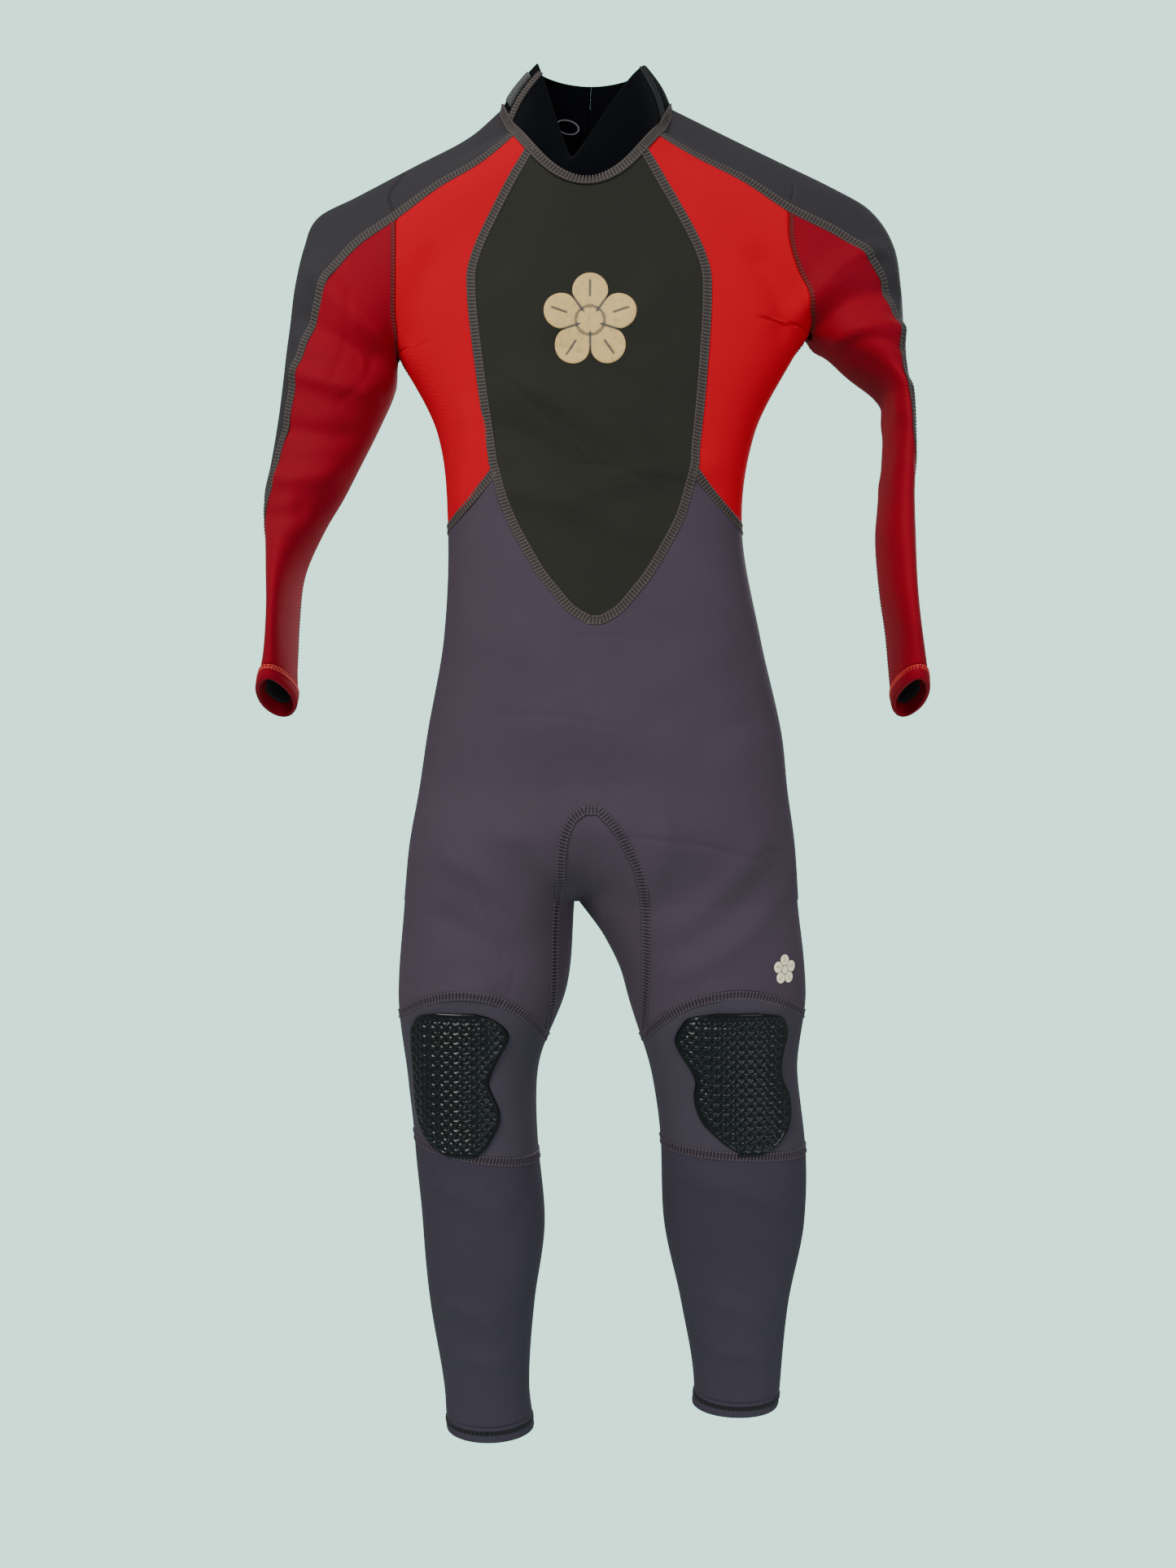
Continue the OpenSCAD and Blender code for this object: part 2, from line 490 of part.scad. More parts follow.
// Red side panel: the tongue above the armpit, then the band that wraps past the silhouette.
module side_panel(side) {
    n_up = hole_steps;
    n_low = 9;
    n_front = hip_steps;
    n_back = wrap_steps;
    za = armpit_z(side);
    sa = step_at(za);
    // upper block: v runs up from the armpit level, 0, to the strip's seam, 1
    function inner_edge(v) =
        v < 0.85 ? chest_seam(side, sa * (1 - v / 0.85)) :
        let (t = mix(chest_corner, strip_corner, (v - 0.85) / 0.15))
        [neck_x + side * neck_hw * sin(t), neck_seam_z(t)];
    function outer_edge(v) = let (z = mix(za, hole_top(side), v)) [side * armhole_x(side, z), z];
    function top_edge(w) =
        let (z = mix(neck_seam_z(strip_corner), hole_top(side), w)) [side * track(strip_rows(side), z), z];
    function upper(w, v) =
        let (t = top_edge(w), i1 = inner_edge(1), o1 = outer_edge(1), i0 = inner_edge(0), o0 = outer_edge(0))
        mix(inner_edge(v), outer_edge(v), w) + v * (t - mix(i1, o1, w));
    function upper_row(v) = concat(
        [for (j = [0 : n_front]) let (p = upper(j / n_front, v)) skin(p[0], p[1], -1)],
        [for (j = [1 : n_back]) [0, 0, 0]]);
    // lower block: v runs down from the armpit level, 0, to the hip seam, 1
    function lower(w, v) =
        let (foot = waist_seam(side, 0.5 + w / 2), z = mix(za, foot[1], v), c = track(torso, z, 1),
             hw = track(torso, z, 2), x0 = chest_seam(side, min(junction, step_at(z)))[0],
             a = mix(asin1(side * (x0 - c) / hw), 90, unit(w / 0.6)))
        w <= 0.6 ? skin(c + side * hw * sin(a), z, -1)
        : skin(body_edge(side, z) - side * seam_back(side, z) * (1 - cos(90 * (w - 0.6) / 0.4)), z, 1);
    ws = concat([for (j = [0 : n_front]) 0.6 * j / n_front],
                [for (j = [1 : n_back]) 0.6 + 0.4 * j / n_back]);
    grid = concat([for (i = [n_up : -1 : 1]) upper_row(i / n_up)],
                  [for (i = [0 : n_low]) [for (w = ws) lower(w, i / n_low)]]);
    cells = [for (i = [0 : len(grid) - 1]) [for (j = [0 : len(ws) - 1]) i >= n_up || j < n_front]];
    color([0.8, 0.02, 0.02]) panel(side, grid, cells);
}

// Strip over the shoulder, and the one that carries on down the sleeve.
module strip(side, vs) {
    nc = 9;
    grid = [for (v = vs) [for (j = [0 : nc - 1]) strip_pt(side, mix(-1, 1, j / (nc - 1)), v)]];
    color([0.25, 0.25, 0.27]) panel(side, grid, all_cells(len(vs), nc));
}
module shoulder_strip(side) {
    n = 8;
    strip(side, [for (i = [0 : n]) i / n - 1]);
}
module sleeve_strip(side) {
    h = hole_top(side);
    strip(side, concat([0], [for (z = sleeve_levels(side)) (h - z) / (h - cuff_top)]));
}
// Levels of the corners of the strip's seams down the sleeve.
under_steps = 15;
pit_gap = 2;            // the under-sleeve joins up this far below the armpit
function sleeve_levels(side) =
    let (h = hole_top(side), a = armpit_z(side))
    concat([h - 3], [for (i = [1 : hole_steps - 1]) mix(h, a, i / hole_steps)],
           [for (i = [0 : under_steps]) mix(a - pit_gap, cuff_top, i / under_steps)]);

// Dark red under-sleeve: two tongues beside the armhole that join under the armpit.
module sleeve_under(side) {
    n_up = hole_steps;
    n_half = 6;
    za = armpit_z(side) - pit_gap;
    bridge = 6;
    function inner_angle(z) =
        z < za + 1 ? -90 : asin1((armhole_x(side, z) - sleeve_mid(side, z)) / sleeve_half(side, z));
    function near_angle(z) = inner_angle(z) + (z < za + 1 ? bridge : 0);
    function sleeve_row(z) = concat(
        [for (j = [0 : n_half])
            sleeve_pt(side, mix(strip_front(side, z), near_angle(z), j / n_half), z)],
        [for (j = [0 : n_half])
            sleeve_pt(side, mix(-180 - near_angle(z), strip_back(side, z) - 360, j / n_half), z)]);
    zs = sleeve_levels(side);
    cells = [for (i = [0 : len(zs) - 1]) [for (j = [0 : 2 * n_half + 1]) i >= n_up || j != n_half]];
    color([0.62, 0.02, 0.04]) panel(-side, [for (z = zs) sleeve_row(z)], cells);
}

// Closed band round a sleeve or a leg, from ring a to ring b.
module band(side, rings, outer = 0, inner = -sheet_t) {
    g = side == L ? rings : flip(rings);
    cells = all_cells(len(g), len(g[0]));
    sheet(trimmed(g, cells, true), cells, outer, inner, closed = true);
}
n_ring = 22;
ring_angles = [for (j = [0 : n_ring - 1]) 360 * j / n_ring];

module cuff(side) {
    color([0.6, 0.02, 0.04])
    band(side, [for (z = [cuff_top, al(4) + band_h / 2, al(4)])
                    [for (a = ring_angles) sleeve_pt(side, a, z)]]);
}

// Front of the hips and thighs in one piece: two halves that join above the gusset.
module hip_panel() {
    n_top = 7;
    n_low = gusset_steps;
    ws = concat([for (j = [0 : v_steps]) 0.5 * j / v_steps],
                [for (j = [1 : hip_steps]) 0.5 + 0.3 * j / hip_steps],
                [for (j = [1 : wrap_steps]) 0.8 + 0.2 * j / wrap_steps]);
    n_half = len(ws) - 1;
    function inner_x(side, z) = z >= gusset_top ? 6 : gusset_x(side, z);
    // share of the way from the inner to the outer edge
    function share(side, x, z) = (side * x - inner_x(side, z)) / (leg_out(side, z) - inner_x(side, z));
    function pt(side, w, i) =
        let (top = waist_seam(side, w), t = sin(90 * unit(w / 0.8)),
             zb = knee_level(side, t, lv(4.6)), v = unit((i - n_top) / n_low),
             z = i <= n_top ? mix(top[1], gusset_top, i / n_top) : mix(gusset_top, zb, v),
             l = mix(share(side, top[0], top[1]), t, unit(i / n_top)))
        w <= 0.8 ? skin(side * mix(inner_x(side, z), leg_out(side, z), l), z, -1)
        : skin(side * (leg_out(side, z) - side_seam_back * (1 - cos(90 * (w - 0.8) / 0.2))), z, 1);
    rows = [for (i = [0 : n_top + n_low]) concat(
        [for (j = [n_half : -1 : 0]) pt(R, ws[j], i)], [for (j = [0 : n_half]) pt(L, ws[j], i)])];
    cells = [for (i = [0 : n_top + n_low]) [for (j = [0 : 2 * n_half + 1]) i < n_top || j != n_half]];
    color([0.28, 0.26, 0.3]) panel(L, rows, cells);
}

// Gusset: one strip from the right knee over the crotch to the left knee.
// v is -1 at the right knee, 0 at the crotch and 1 at the left knee; u goes from front to back.
module gusset() {
    n_leg = gusset_steps;
    n_half = 5;
    function pt(v, u) =
        let (side = v < 0 ? R : L, f = abs(v), zk = knee_top(side, -1), z_edge = mix(lv(4) - 1, zk, f),
             foot = u < 0 ? knee_level(side, 0, zk) : zk,
             z_seam = mix(gusset_top, foot, f), k = 1 - cos(90 * abs(u)),
             x_edge = f == 0 ? crotch_x : side * leg_in(side, z_edge),
             x_seam = f == 0 ? 0 : side * gusset_x(side, z_seam))
        skin(mix(x_edge, x_seam, k), mix(z_edge, z_seam, k), u < 0 ? -1 : 1);
    grid = [for (j = [-n_half : n_half]) [for (i = [-n_leg : n_leg]) pt(i / n_leg, j / n_half)]];
    color([0.27, 0.25, 0.29]) panel(L, grid, all_cells(2 * n_half + 1, 2 * n_leg + 1));
}

// Back panel beside the zip, from the neck seam down to the seat.
zip_x = 3;
zip_gap = slider_w / 2 + 1;
back_foot = lv(2.05);
module back_panel(side) {
    n_up = 6;
    n_low = 7;
    n_across = 7;
    h = hole_top(side);
    za = armpit_z(side);
    z0 = neck_seam_z(180 - strip_corner);
    function outer_x(z) =
        z > h ? mix(strip_rows(side)[0][1], hole_x, unit((z0 - z) / (z0 - h)))
        : z > armpit_z(side) ? armhole_x(side, z)
        : side * body_edge(side, z) - seam_back(side, z);
    function pt(w, i) =
        let (zr = i <= n_up ? mix(z0, h, i / n_up)
                  : i <= n_up + hole_steps ? mix(h, za, (i - n_up) / hole_steps)
                  : mix(za, back_foot, (i - n_up - hole_steps) / n_low),
             x = side * mix(side * zip_x + zip_gap, outer_x(zr), w),
             rim = side * mix(side * zip_x + zip_gap, strip_rows(side)[0][1], w),
             k = pow(unit(1 - i / 3), 2), zn = neck_seam_z(180 - asin1((rim - neck_x) / neck_hw)))
        skin(x, zr + k * (zn - z0), 1);
    nr = n_up + hole_steps + n_low + 1;
    grid = [for (i = [0 : nr - 1]) [for (j = [0 : n_across]) pt(j / n_across, i)]];
    color([0.2, 0.2, 0.22]) panel(-side, grid, all_cells(nr, n_across + 1));
}

// Seat and backs of the legs in one piece.
module seat_panel() {
    n_top = 7;
    n_leg = n_top + gusset_steps;
    n_all = n_leg + 7;
    n_half = 8;
    function inner_x(side, z) =
        z >= gusset_top ? 6 : z >= knee_top(side, -1) - 0.1 ? gusset_x(side, z) : leg_in(side, z);
    function foot(side, t, z, n = 3) =
        n == 0 ? z : let (x = mix(leg_in(side, z), leg_out(side, z) - side_seam_back, t))
        foot(side, t, knee_low(side, (x - leg_mid(side, z)) / leg_half(side, z)), n - 1);
    function pt(side, w, i) =
        let (t = sin(90 * w), zk = knee_top(side, -1), zb = foot(side, t, lv(5.46)),
             z = i <= n_top ? mix(back_foot, gusset_top, i / n_top)
                 : i <= n_leg ? mix(gusset_top, zk, (i - n_top) / gusset_steps)
                 : mix(zk - 1, zb, (i - n_leg - 1) / (n_all - n_leg - 1)))
        skin(side * mix(inner_x(side, z), leg_out(side, z) - side_seam_back, t), z, 1);
    rows = [for (i = [0 : n_all]) concat(
        [for (j = [n_half : -1 : 0]) pt(L, j / n_half, i)], [for (j = [0 : n_half]) pt(R, j / n_half, i)])];
    cells = [for (i = [0 : n_all]) [for (j = [0 : 2 * n_half + 1]) i < n_top || j != n_half]];
    color([0.26, 0.25, 0.28]) panel(L, rows, cells);
}

module knee_panel(side) {
    nr = 7;
    nc = 14;
    function pt(i, j) =
        let (w = j / (nc - 1), t = sin(mix(-90, 90, unit(w / 0.85))),
             z = mix(knee_top(side, t), knee_low(side, t), i / (nr - 1)))
        w <= 0.85 ? leg_pt(side, mix(-90, 90, w / 0.85), z)
        : skin(side * (leg_out(side, z) - side_seam_back * (1 - cos(90 * (w - 0.85) / 0.15))), z, 1);
    color([0.22, 0.21, 0.24])
    panel(side, [for (i = [0 : nr - 1]) [for (j = [0 : nc - 1]) pt(i, j)]], all_cells(nr, nc));
}

// Moulded pad: a lobe above and a narrower one below, with a waist on the inner side of the knee.
// Rows: height down the pad, then how far it reaches inward and outward in shares of half its width.
pad_rows_right = [
    [0, 0.27, 0.26], [-0.037, 0.6, 0.72], [-0.12, 0.88, 0.93], [-0.2, 0.923, 0.963],
    [-0.325, 0.744, 0.95], [-0.45, 0.588, 0.93], [-0.51, 0.565, 0.92], [-0.61, 0.677, 0.907],
    [-0.7, 0.756, 0.884], [-0.78, 0.744, 0.828], [-0.86, 0.633, 0.716], [-0.94, 0.5, 0.5], [-1, 0.3, 0.2]];
pad_rows_left = [
    [0, 0.35, 0.25], [-0.037, 0.88, 0.74], [-0.1, 1.06, 0.935], [-0.2, 1.17, 0.97],
    [-0.285, 1.1, 0.902], [-0.41, 0.884, 0.856], [-0.49, 0.795, 0.89], [-0.57, 0.816, 0.99],
    [-0.655, 0.795, 1.05], [-0.78, 0.649, 1.037], [-0.86, 0.435, 0.947], [-0.94, 0.153, 0.744],
    [-1, -0.2, 0.4]];
function pad_mid(side) = side * (leg_mid(side, -knee_drop) + (side == L ? 6 : 7));
function pad_edge(side, s, inner_side) =
    pad_w / 2 * track(side == L ? pad_rows_left : pad_rows_right, -s, inner_side ? 1 : 2);
pad_off = 0.8;
module knee_pad(side) {
    nr = 15;
    nc = 11;
    top = -knee_drop + 4 + pad_h / 2;
    function pt(i, j) =
        let (s = mix(0.012, 0.988, (1 - cos(180 * i / (nr - 1))) / 2), q = mix(-1, 1, j / (nc - 1)),
             x = pad_mid(side) + side * q * pad_edge(side, s, q < 0))
        skin(x, top - s * pad_h, -1);
    color([0.05, 0.06, 0.07])
    panel(side, [for (i = [0 : nr - 1]) [for (j = [0 : nc - 1]) pt(i, j)]], all_cells(nr, nc),
          outer = pad_off + pad_t, inner = pad_off);
}

function leg_end(side) = lv(7) - (side == L ? left_leg_end : right_leg_end);
module lower_leg(side) {
    nr = 14;
    foot = leg_end(side) + band_h;
    color([0.24, 0.23, 0.27])
    band(side, [for (i = [0 : nr - 1]) [for (a = ring_angles)
        leg_pt(side, a, mix(knee_low(side, sin(a)), foot, i / (nr - 1)))]]);
}
module ankle_hem(side) {
    color([0.1, 0.1, 0.11])
    band(side, [for (k = [1, 0.5, 0]) [for (a = ring_angles) leg_pt(side, a, leg_end(side) + k * band_h)]]);
}

// ---------- collar ----------
notch_x = -16;          // the collar's front notch
// Share of the collar's height left at angle t: 0 in the notch, 1 from the sides round the back.
function collar_rise(t) =
    let (x = -1 + collar_top_hw * sin(t), far = x < notch_x ? 27 : 58, d = norm([x - notch_x, 3]) - 3)
    cos(t) <= 0 ? 1 : unit(d / far);
function collar_top_pt(t) =
    let (r = collar_rise(t))
    [-1 + collar_top_hw * sin(t), -cos(t) * mix(neck_hd, 0.77 * neck_hd, r),
     mix(-collar_notch_drop, collar_top - 5, r) + (cos(t) < 0 ? 5 * sin(90 * -cos(t)) : 0)];
// Collar point: t goes round as on the neck seam, s rises from the seam, 0, to the top edge, 1.
function collar_pt(t, s) =
    let (n = neck_seam(t), foot = skin(n[0], n[1], cos(t) >= 0 ? -1 : 1), top = collar_top_pt(t),
         p = mix(foot, top, s), bulge = 3 * sin(180 * s))
    p + bulge * [sin(t), -cos(t), 0];
function collar_out(t, s) =
    let (a = unit(s) > 0.5 ? s - 0.1 : s, v = cross(collar_pt(t + 2, a) - collar_pt(t - 2, a),
                                                    collar_pt(t, a + 0.1) - collar_pt(t, a)))
    v / norm(v);
// Part of the collar between angles t0 and t1 and heights s0 and s1.
module collar_part(t0, t1, s0, s1, nc, nr, outer = 0, inner = -collar_t, round_end = 0) {
    function height(t, s) =
        let (k = round_end == 0 ? 1 : sqrt(max(0.1, 1 - pow(unit((t - t1 + round_end) / round_end), 2))))
        mix((s0 + s1) / 2, s, k);
    ts = [for (j = [0 : nc - 1]) mix(t0, t1, j / (nc - 1))];
    ss = [for (i = [0 : nr - 1]) mix(s1, s0, i / (nr - 1))];
    grid = [for (s = ss) [for (t = ts) collar_pt(t, height(t, s))]];
    dirs = [for (s = ss) [for (t = ts) collar_out(t, height(t, s))]];
    cells = all_cells(nr, nc);
    sheet(trimmed(grid, cells), cells, outer, inner, false, dirs);
}
collar_seam = 64;       // seams between the collar's front and its back halves
tab_start = 152;        // the tab is sewn on here and crosses the zip
tab_end = 240;
tab_low = 0.2;
tab_high = 0.2 + tab_h / (collar_top + neck_back_drop);
patch_t = 0.8;
patch_off = 0.5;
module collar_front() {
    color([0.05, 0.05, 0.07]) collar_part(-collar_seam, collar_seam, 0.02, 1, 17, 5);
}
module collar_back_left() {
    color([0.05, 0.05, 0.07]) collar_part(collar_seam, 175, 0.02, 1, 14, 5);
}
module collar_back_right() {
    color([0.05, 0.05, 0.07]) collar_part(185, 360 - collar_seam, 0.02, 1, 14, 5);
}
module collar_loop_patch() {
    color([0.03, 0.03, 0.03]) collar_part(206, 292, 0.2, 0.8, 12, 4, patch_off + patch_t, patch_off);
}
tab_off = patch_off + 2 * patch_t + 0.6;
module collar_tab() {
    color([0.07, 0.07, 0.08])
    collar_part(tab_start, tab_end, tab_low, tab_high, 14, 4, tab_off + tab_t, tab_off, round_end = 14);
}
module tab_hook_patch() {
    color([0.03, 0.03, 0.03])
    collar_part(212, tab_end - 8, tab_low + 0.1, tab_high - 0.1, 5, 3,
                tab_off - 0.2, tab_off - 0.2 - patch_t);
}

// ---------- zip ----------
// The zip lies in a straight plane just under the back panels' skin.
zip_top = -neck_back_drop - 14;
zip_foot = zip_top - zip_len;
function back_y(z) = half_depth(zip_x, z);
tape_reach = tape_w + 1;
zip_y = min([for (i = [0 : 8]) half_depth(zip_x + tape_reach, mix(zip_top + 4, zip_foot, i / 8))])
    - sheet_t - 0.5;
zip_skin = max([for (i = [0 : 12]) back_y(mix(zip_top, zip_foot - pull_l, i / 12))]);
module zip_box(x0, x1, y0, y1, z0, z1) {
    translate([zip_x + x0, zip_y + y0, z0]) cube([x1 - x0, y1 - y0, z1 - z0]);
}
module zip_tape(side) {
    x0 = side == L ? 0.4 : -tape_w - 0.4;
    color([0.06, 0.06, 0.07]) zip_box(x0, x0 + tape_w, -tape_t, 0, zip_foot - 14, zip_top + 4);
}
// Teeth of one side, a block each: the two sides' teeth alternate down the chain.
tooth_pitch = 5;
module zip_teeth(side) {
    n = floor(zip_len / tooth_pitch);
    reach = chain_w / 2 - 1;
    color([0.12, 0.12, 0.13])
    for (i = [0 : n - 1])
        let (z = zip_top - tooth_pitch * (i + (side == L ? 0.25 : 0.75)))
        zip_box(side == L ? -0.9 : -reach, side == L ? reach : 0.9, 0.15, 0.15 + tooth_t,
                z - 0.85, z + 0.85);
}
slider_z = zip_top - slider_l / 2 - 1;
slider_y = 0.5 + tooth_t;
pin_rise = zip_skin + 1.8 - zip_y - slider_y;   // the pull tab clears the skin
module zip_slider() {
    lug = 2.2;
    color([0.2, 0.2, 0.21])
    translate([zip_x, zip_y + slider_y, slider_z])
    difference() {
        union() {
            rotate([-90, 0, 0]) linear_extrude(1.6)
                hull() {
                    translate([0, slider_l / 2 - slider_w / 3]) circle(slider_w / 3, $fn = 32);
                    translate([0, slider_w / 2 - slider_l / 2]) circle(slider_w / 2, $fn = 32);
                }
            for (s = [-1, 1])
                translate([s * 3.1 - lug / 2, 1.2, -slider_l / 4 - 2.2]) cube([lug, pin_rise + 1, 4.4]);
        }
        translate([-slider_w / 2, pin_rise, -slider_l / 4]) rotate([0, 90, 0])
            cylinder(h = slider_w, d = pin_d + 0.1, $fn = 32);
    }
}
// Pull tab with its hinge pin and the hole that a leash ties through.
module pull_tab() {
    pin_z = slider_z - slider_l / 4;
    pin_y = zip_y + slider_y + pin_rise;
    width = 9;
    color([0.07, 0.07, 0.08])
    translate([zip_x, pin_y, pin_z]) {
        rotate([0, 90, 0]) translate([0, 0, -3.9]) cylinder(h = 7.8, d = pin_d - 0.1, $fn = 32);
        difference() {
            union() {
                translate([-1.7, -1.1, -6]) cube([3.4, 2.2, 6.9]);
                translate([0, 1.1, 0]) rotate([90, 0, 0]) linear_extrude(2.2)
                    hull() {
                        translate([0, -7]) circle(3, $fn = 32);
                        translate([0, -pull_l + width / 2]) circle(width / 2, $fn = 32);
                    }
            }
            translate([0, 3, -pull_l + width / 2]) rotate([90, 0, 0])
                cylinder(h = 6, d = leash_hole_d, $fn = 32);
        }
    }
}
module zip_top_stops() {
    color([0.2, 0.2, 0.21]) for (s = [-1, 1])
        zip_box(s * 2 - 1.2, s * 2 + 1.2, 0.15, 0.15 + tooth_t, zip_top + 0.4, zip_top + 3);
}
module zip_bottom_stop() {
    color([0.2, 0.2, 0.21])
    zip_box(-chain_w / 2, chain_w / 2, 0.15, 0.15 + tooth_t, zip_foot - 5, zip_foot - 0.6);
}
// Thin flap behind the zip that keeps water out.
module zip_flap() {
    color([0.09, 0.09, 0.1])
    zip_box(-28, 28, -tape_t - 4.6, -tape_t - 2.6, zip_foot - 6, zip_top - 10);
}

// ---------- prints ----------
// Thin rubbery prints on the skin: a blossom of five petals with a ring round it.
print_t = 0.35;
module skin_disc(x, z, r, lobes, depth, across = 1) {
    n = 40;
    nr = 4;
    grid = [for (i = [0 : nr - 1]) [for (j = [0 : n - 1])
        let (a = -360 * j / n, k = mix(0.02, 1, i / (nr - 1)) * r * (1 - depth + depth * cos(lobes * a)))
        skin(x + across * k * sin(a), z + k * cos(a), -1)]];
    cells = all_cells(nr, n);
    sheet(grid, cells, outer = print_t + 0.3, inner = 0.3, closed = true);
}
module chest_print() {
    color([0.86, 0.74, 0.5]) skin_disc(-2, lv(0.94), 38, 5, 0.16);
}
module thigh_print() {
    color([0.95, 0.93, 0.85]) skin_disc(leg_mid(L, lv(4.36)) + 56, lv(4.36), 12, 5, 0.16, across = 0.8);
}
// Blank oval where the size is printed inside the back of the collar.
module size_print() {
    color([0.6, 0.6, 0.62]) collar_part(189, 209, 0.35, 0.6, 5, 3, -collar_t - 0.45, -collar_t - 0.7);
}

// ---------- all pieces ----------
chest_panel();
side_panel(L);  // side_panel_left
side_panel(R);  // side_panel_right
shoulder_strip(L);  // shoulder_strip_left
shoulder_strip(R);  // shoulder_strip_right
sleeve_strip(L);  // sleeve_strip_left
sleeve_strip(R);  // sleeve_strip_right
sleeve_under(L);  // sleeve_under_left
sleeve_under(R);  // sleeve_under_right
cuff(L);  // cuff_left
cuff(R);  // cuff_right
hip_panel();
gusset();
back_panel(L);  // back_panel_left
back_panel(R);  // back_panel_right
seat_panel();
knee_panel(L);  // knee_panel_left
knee_panel(R);  // knee_panel_right
knee_pad(L);  // knee_pad_left
knee_pad(R);  // knee_pad_right
lower_leg(L);  // lower_leg_left
lower_leg(R);  // lower_leg_right
ankle_hem(L);  // ankle_hem_left
ankle_hem(R);  // ankle_hem_right
collar_front();
collar_back_left();
collar_back_right();
collar_tab();
collar_loop_patch();
tab_hook_patch();
zip_tape(L);  // zip_tape_left
zip_tape(R);  // zip_tape_right
zip_teeth(L);  // zip_teeth_left
zip_teeth(R);  // zip_teeth_right
zip_slider();
pull_tab();
zip_top_stops();
zip_bottom_stop();
zip_flap();
chest_print();
thigh_print();
size_print();
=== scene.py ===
import math

import bpy
import numpy as np
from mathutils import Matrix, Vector


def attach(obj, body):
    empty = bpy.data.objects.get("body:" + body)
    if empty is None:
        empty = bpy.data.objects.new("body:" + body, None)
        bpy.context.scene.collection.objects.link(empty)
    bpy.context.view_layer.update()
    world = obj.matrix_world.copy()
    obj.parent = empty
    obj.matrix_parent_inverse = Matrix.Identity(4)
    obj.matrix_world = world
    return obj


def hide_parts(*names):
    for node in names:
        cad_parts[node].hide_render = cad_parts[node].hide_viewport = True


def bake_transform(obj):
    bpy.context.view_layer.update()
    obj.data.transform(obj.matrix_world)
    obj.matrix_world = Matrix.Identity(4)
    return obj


# Full wetsuit for a child, hung by its shoulders. Lengths below are millimetres until a mesh is
# made. The body's skin is y = -depth(x, z) on the front and +depth(x, z) on the back, and every
# rubber panel is a grid of points on that skin.

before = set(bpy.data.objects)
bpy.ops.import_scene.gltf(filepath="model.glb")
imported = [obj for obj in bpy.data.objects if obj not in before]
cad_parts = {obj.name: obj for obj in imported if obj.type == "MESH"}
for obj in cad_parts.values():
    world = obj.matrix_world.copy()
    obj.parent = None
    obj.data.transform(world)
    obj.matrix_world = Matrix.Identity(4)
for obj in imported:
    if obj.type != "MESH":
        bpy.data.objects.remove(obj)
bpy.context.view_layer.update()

LEFT, RIGHT = 1, -1
PITCH = 2.2


# ------------------------------------------------------------------ helpers
def mix(a, b, t):
    return a + (b - a) * t


def unit(t):
    return np.clip(t, 0.0, 1.0)


def ease(t):
    t = unit(t)
    return t * t * (3 - 2 * t)


def arc_in(t):
    """A quarter circle's rise: the root of 1 less (1 - t) squared."""
    return np.sqrt(np.maximum(0.0, 1 - (1 - unit(t)) ** 2))


def sind(a):
    return np.sin(np.radians(a))


def cosd(a):
    return np.cos(np.radians(a))


def asind(t):
    return np.degrees(np.arcsin(np.clip(t, -1, 1)))


def track(rows, key, col=1):
    """Cubic Hermite curve through a table whose keys fall, with slopes from each row's
    neighbours, and flat past both ends."""
    rows = np.asarray(rows, float)
    k, v = rows[:, 0], rows[:, col]
    n = len(k)
    lo, hi = np.maximum(np.arange(n) - 1, 0), np.minimum(np.arange(n) + 1, n - 1)
    m = (v[hi] - v[lo]) / (k[hi] - k[lo])
    key = np.asarray(key, float)
    i = np.clip(np.searchsorted(-k[1:], -key, side="left"), 0, n - 2)
    h = k[i + 1] - k[i]
    t = np.clip((key - k[i]) / h, 0, 1)
    s = 1 - t
    return (v[i] * s * s * (1 + 2 * t) + v[i + 1] * t * t * (1 + 2 * s)
            + h * t * s * (s * m[i] - t * m[i + 1]))


# ------------------------------------------------------------------ sizes
ARMPIT, PIT_LIFT, WAIST, HIP, CROTCH, KNEE, CALF, ANKLE = 198, 18, 341, 560, 652, 800, 920, 1058
LEG_END = {RIGHT: 35, LEFT: 15}
SHOULDER, ELBOW, CUFF = 84, 300, 484
CHEST_W, WAIST_W, HIP_W, SEAT_W = 331, 246, 308, 330
CHEST_D, WAIST_D, HIP_D = 96, 100, 114
THIGH_W, KNEE_W, CALF_W, ANKLE_W = 145, 112, 110, 72
THIGH_D, KNEE_D, CALF_D, ANKLE_D = 106, 88, 76, 54
TIP, CUFF_REACH, ARM_D, FOREARM_D = 232, 280, 72, 76
SHEET_T, PANEL_W, SEAM_BACK, BAND_H, TILT = 3, 189, 16, 12, 27
PAD_T, PAD_H, PAD_W = 2.4, 118, 86
NECK_HW, NECK_HD, NECK_FRONT, NECK_BACK = 71, 44, 75, 12
COLLAR_TOP, NOTCH_DROP, TOP_HW, COLLAR_T, TAB_H, TAB_T = 50, 52, 46, 2, 34, 2.5
NECK_Z, NECK_X, CROTCH_X, HOLE_X = 10, -5, -14, 160
ZIP_X, ZIP_GAP = 3, 7

MARKS = [0, ARMPIT, WAIST, HIP, CROTCH, KNEE, CALF, ANKLE]
ARM_MARKS = [-NECK_Z, SHOULDER, ARMPIT, ELBOW, CUFF]


def lv(k):
    """Level of body landmark k: 1 armpit, 2 waist, 3 hip, 4 crotch, 5 knee, 6 calf, 7 ankle."""
    i = min(6, int(k))
    return -mix(MARKS[i], MARKS[i + 1], k - i)


def al(k):
    """Level of sleeve landmark k: 1 shoulder tip, 2 armpit, 3 elbow, 4 cuff."""
    i = min(3, int(k))
    return -mix(ARM_MARKS[i], ARM_MARKS[i + 1], k - i)


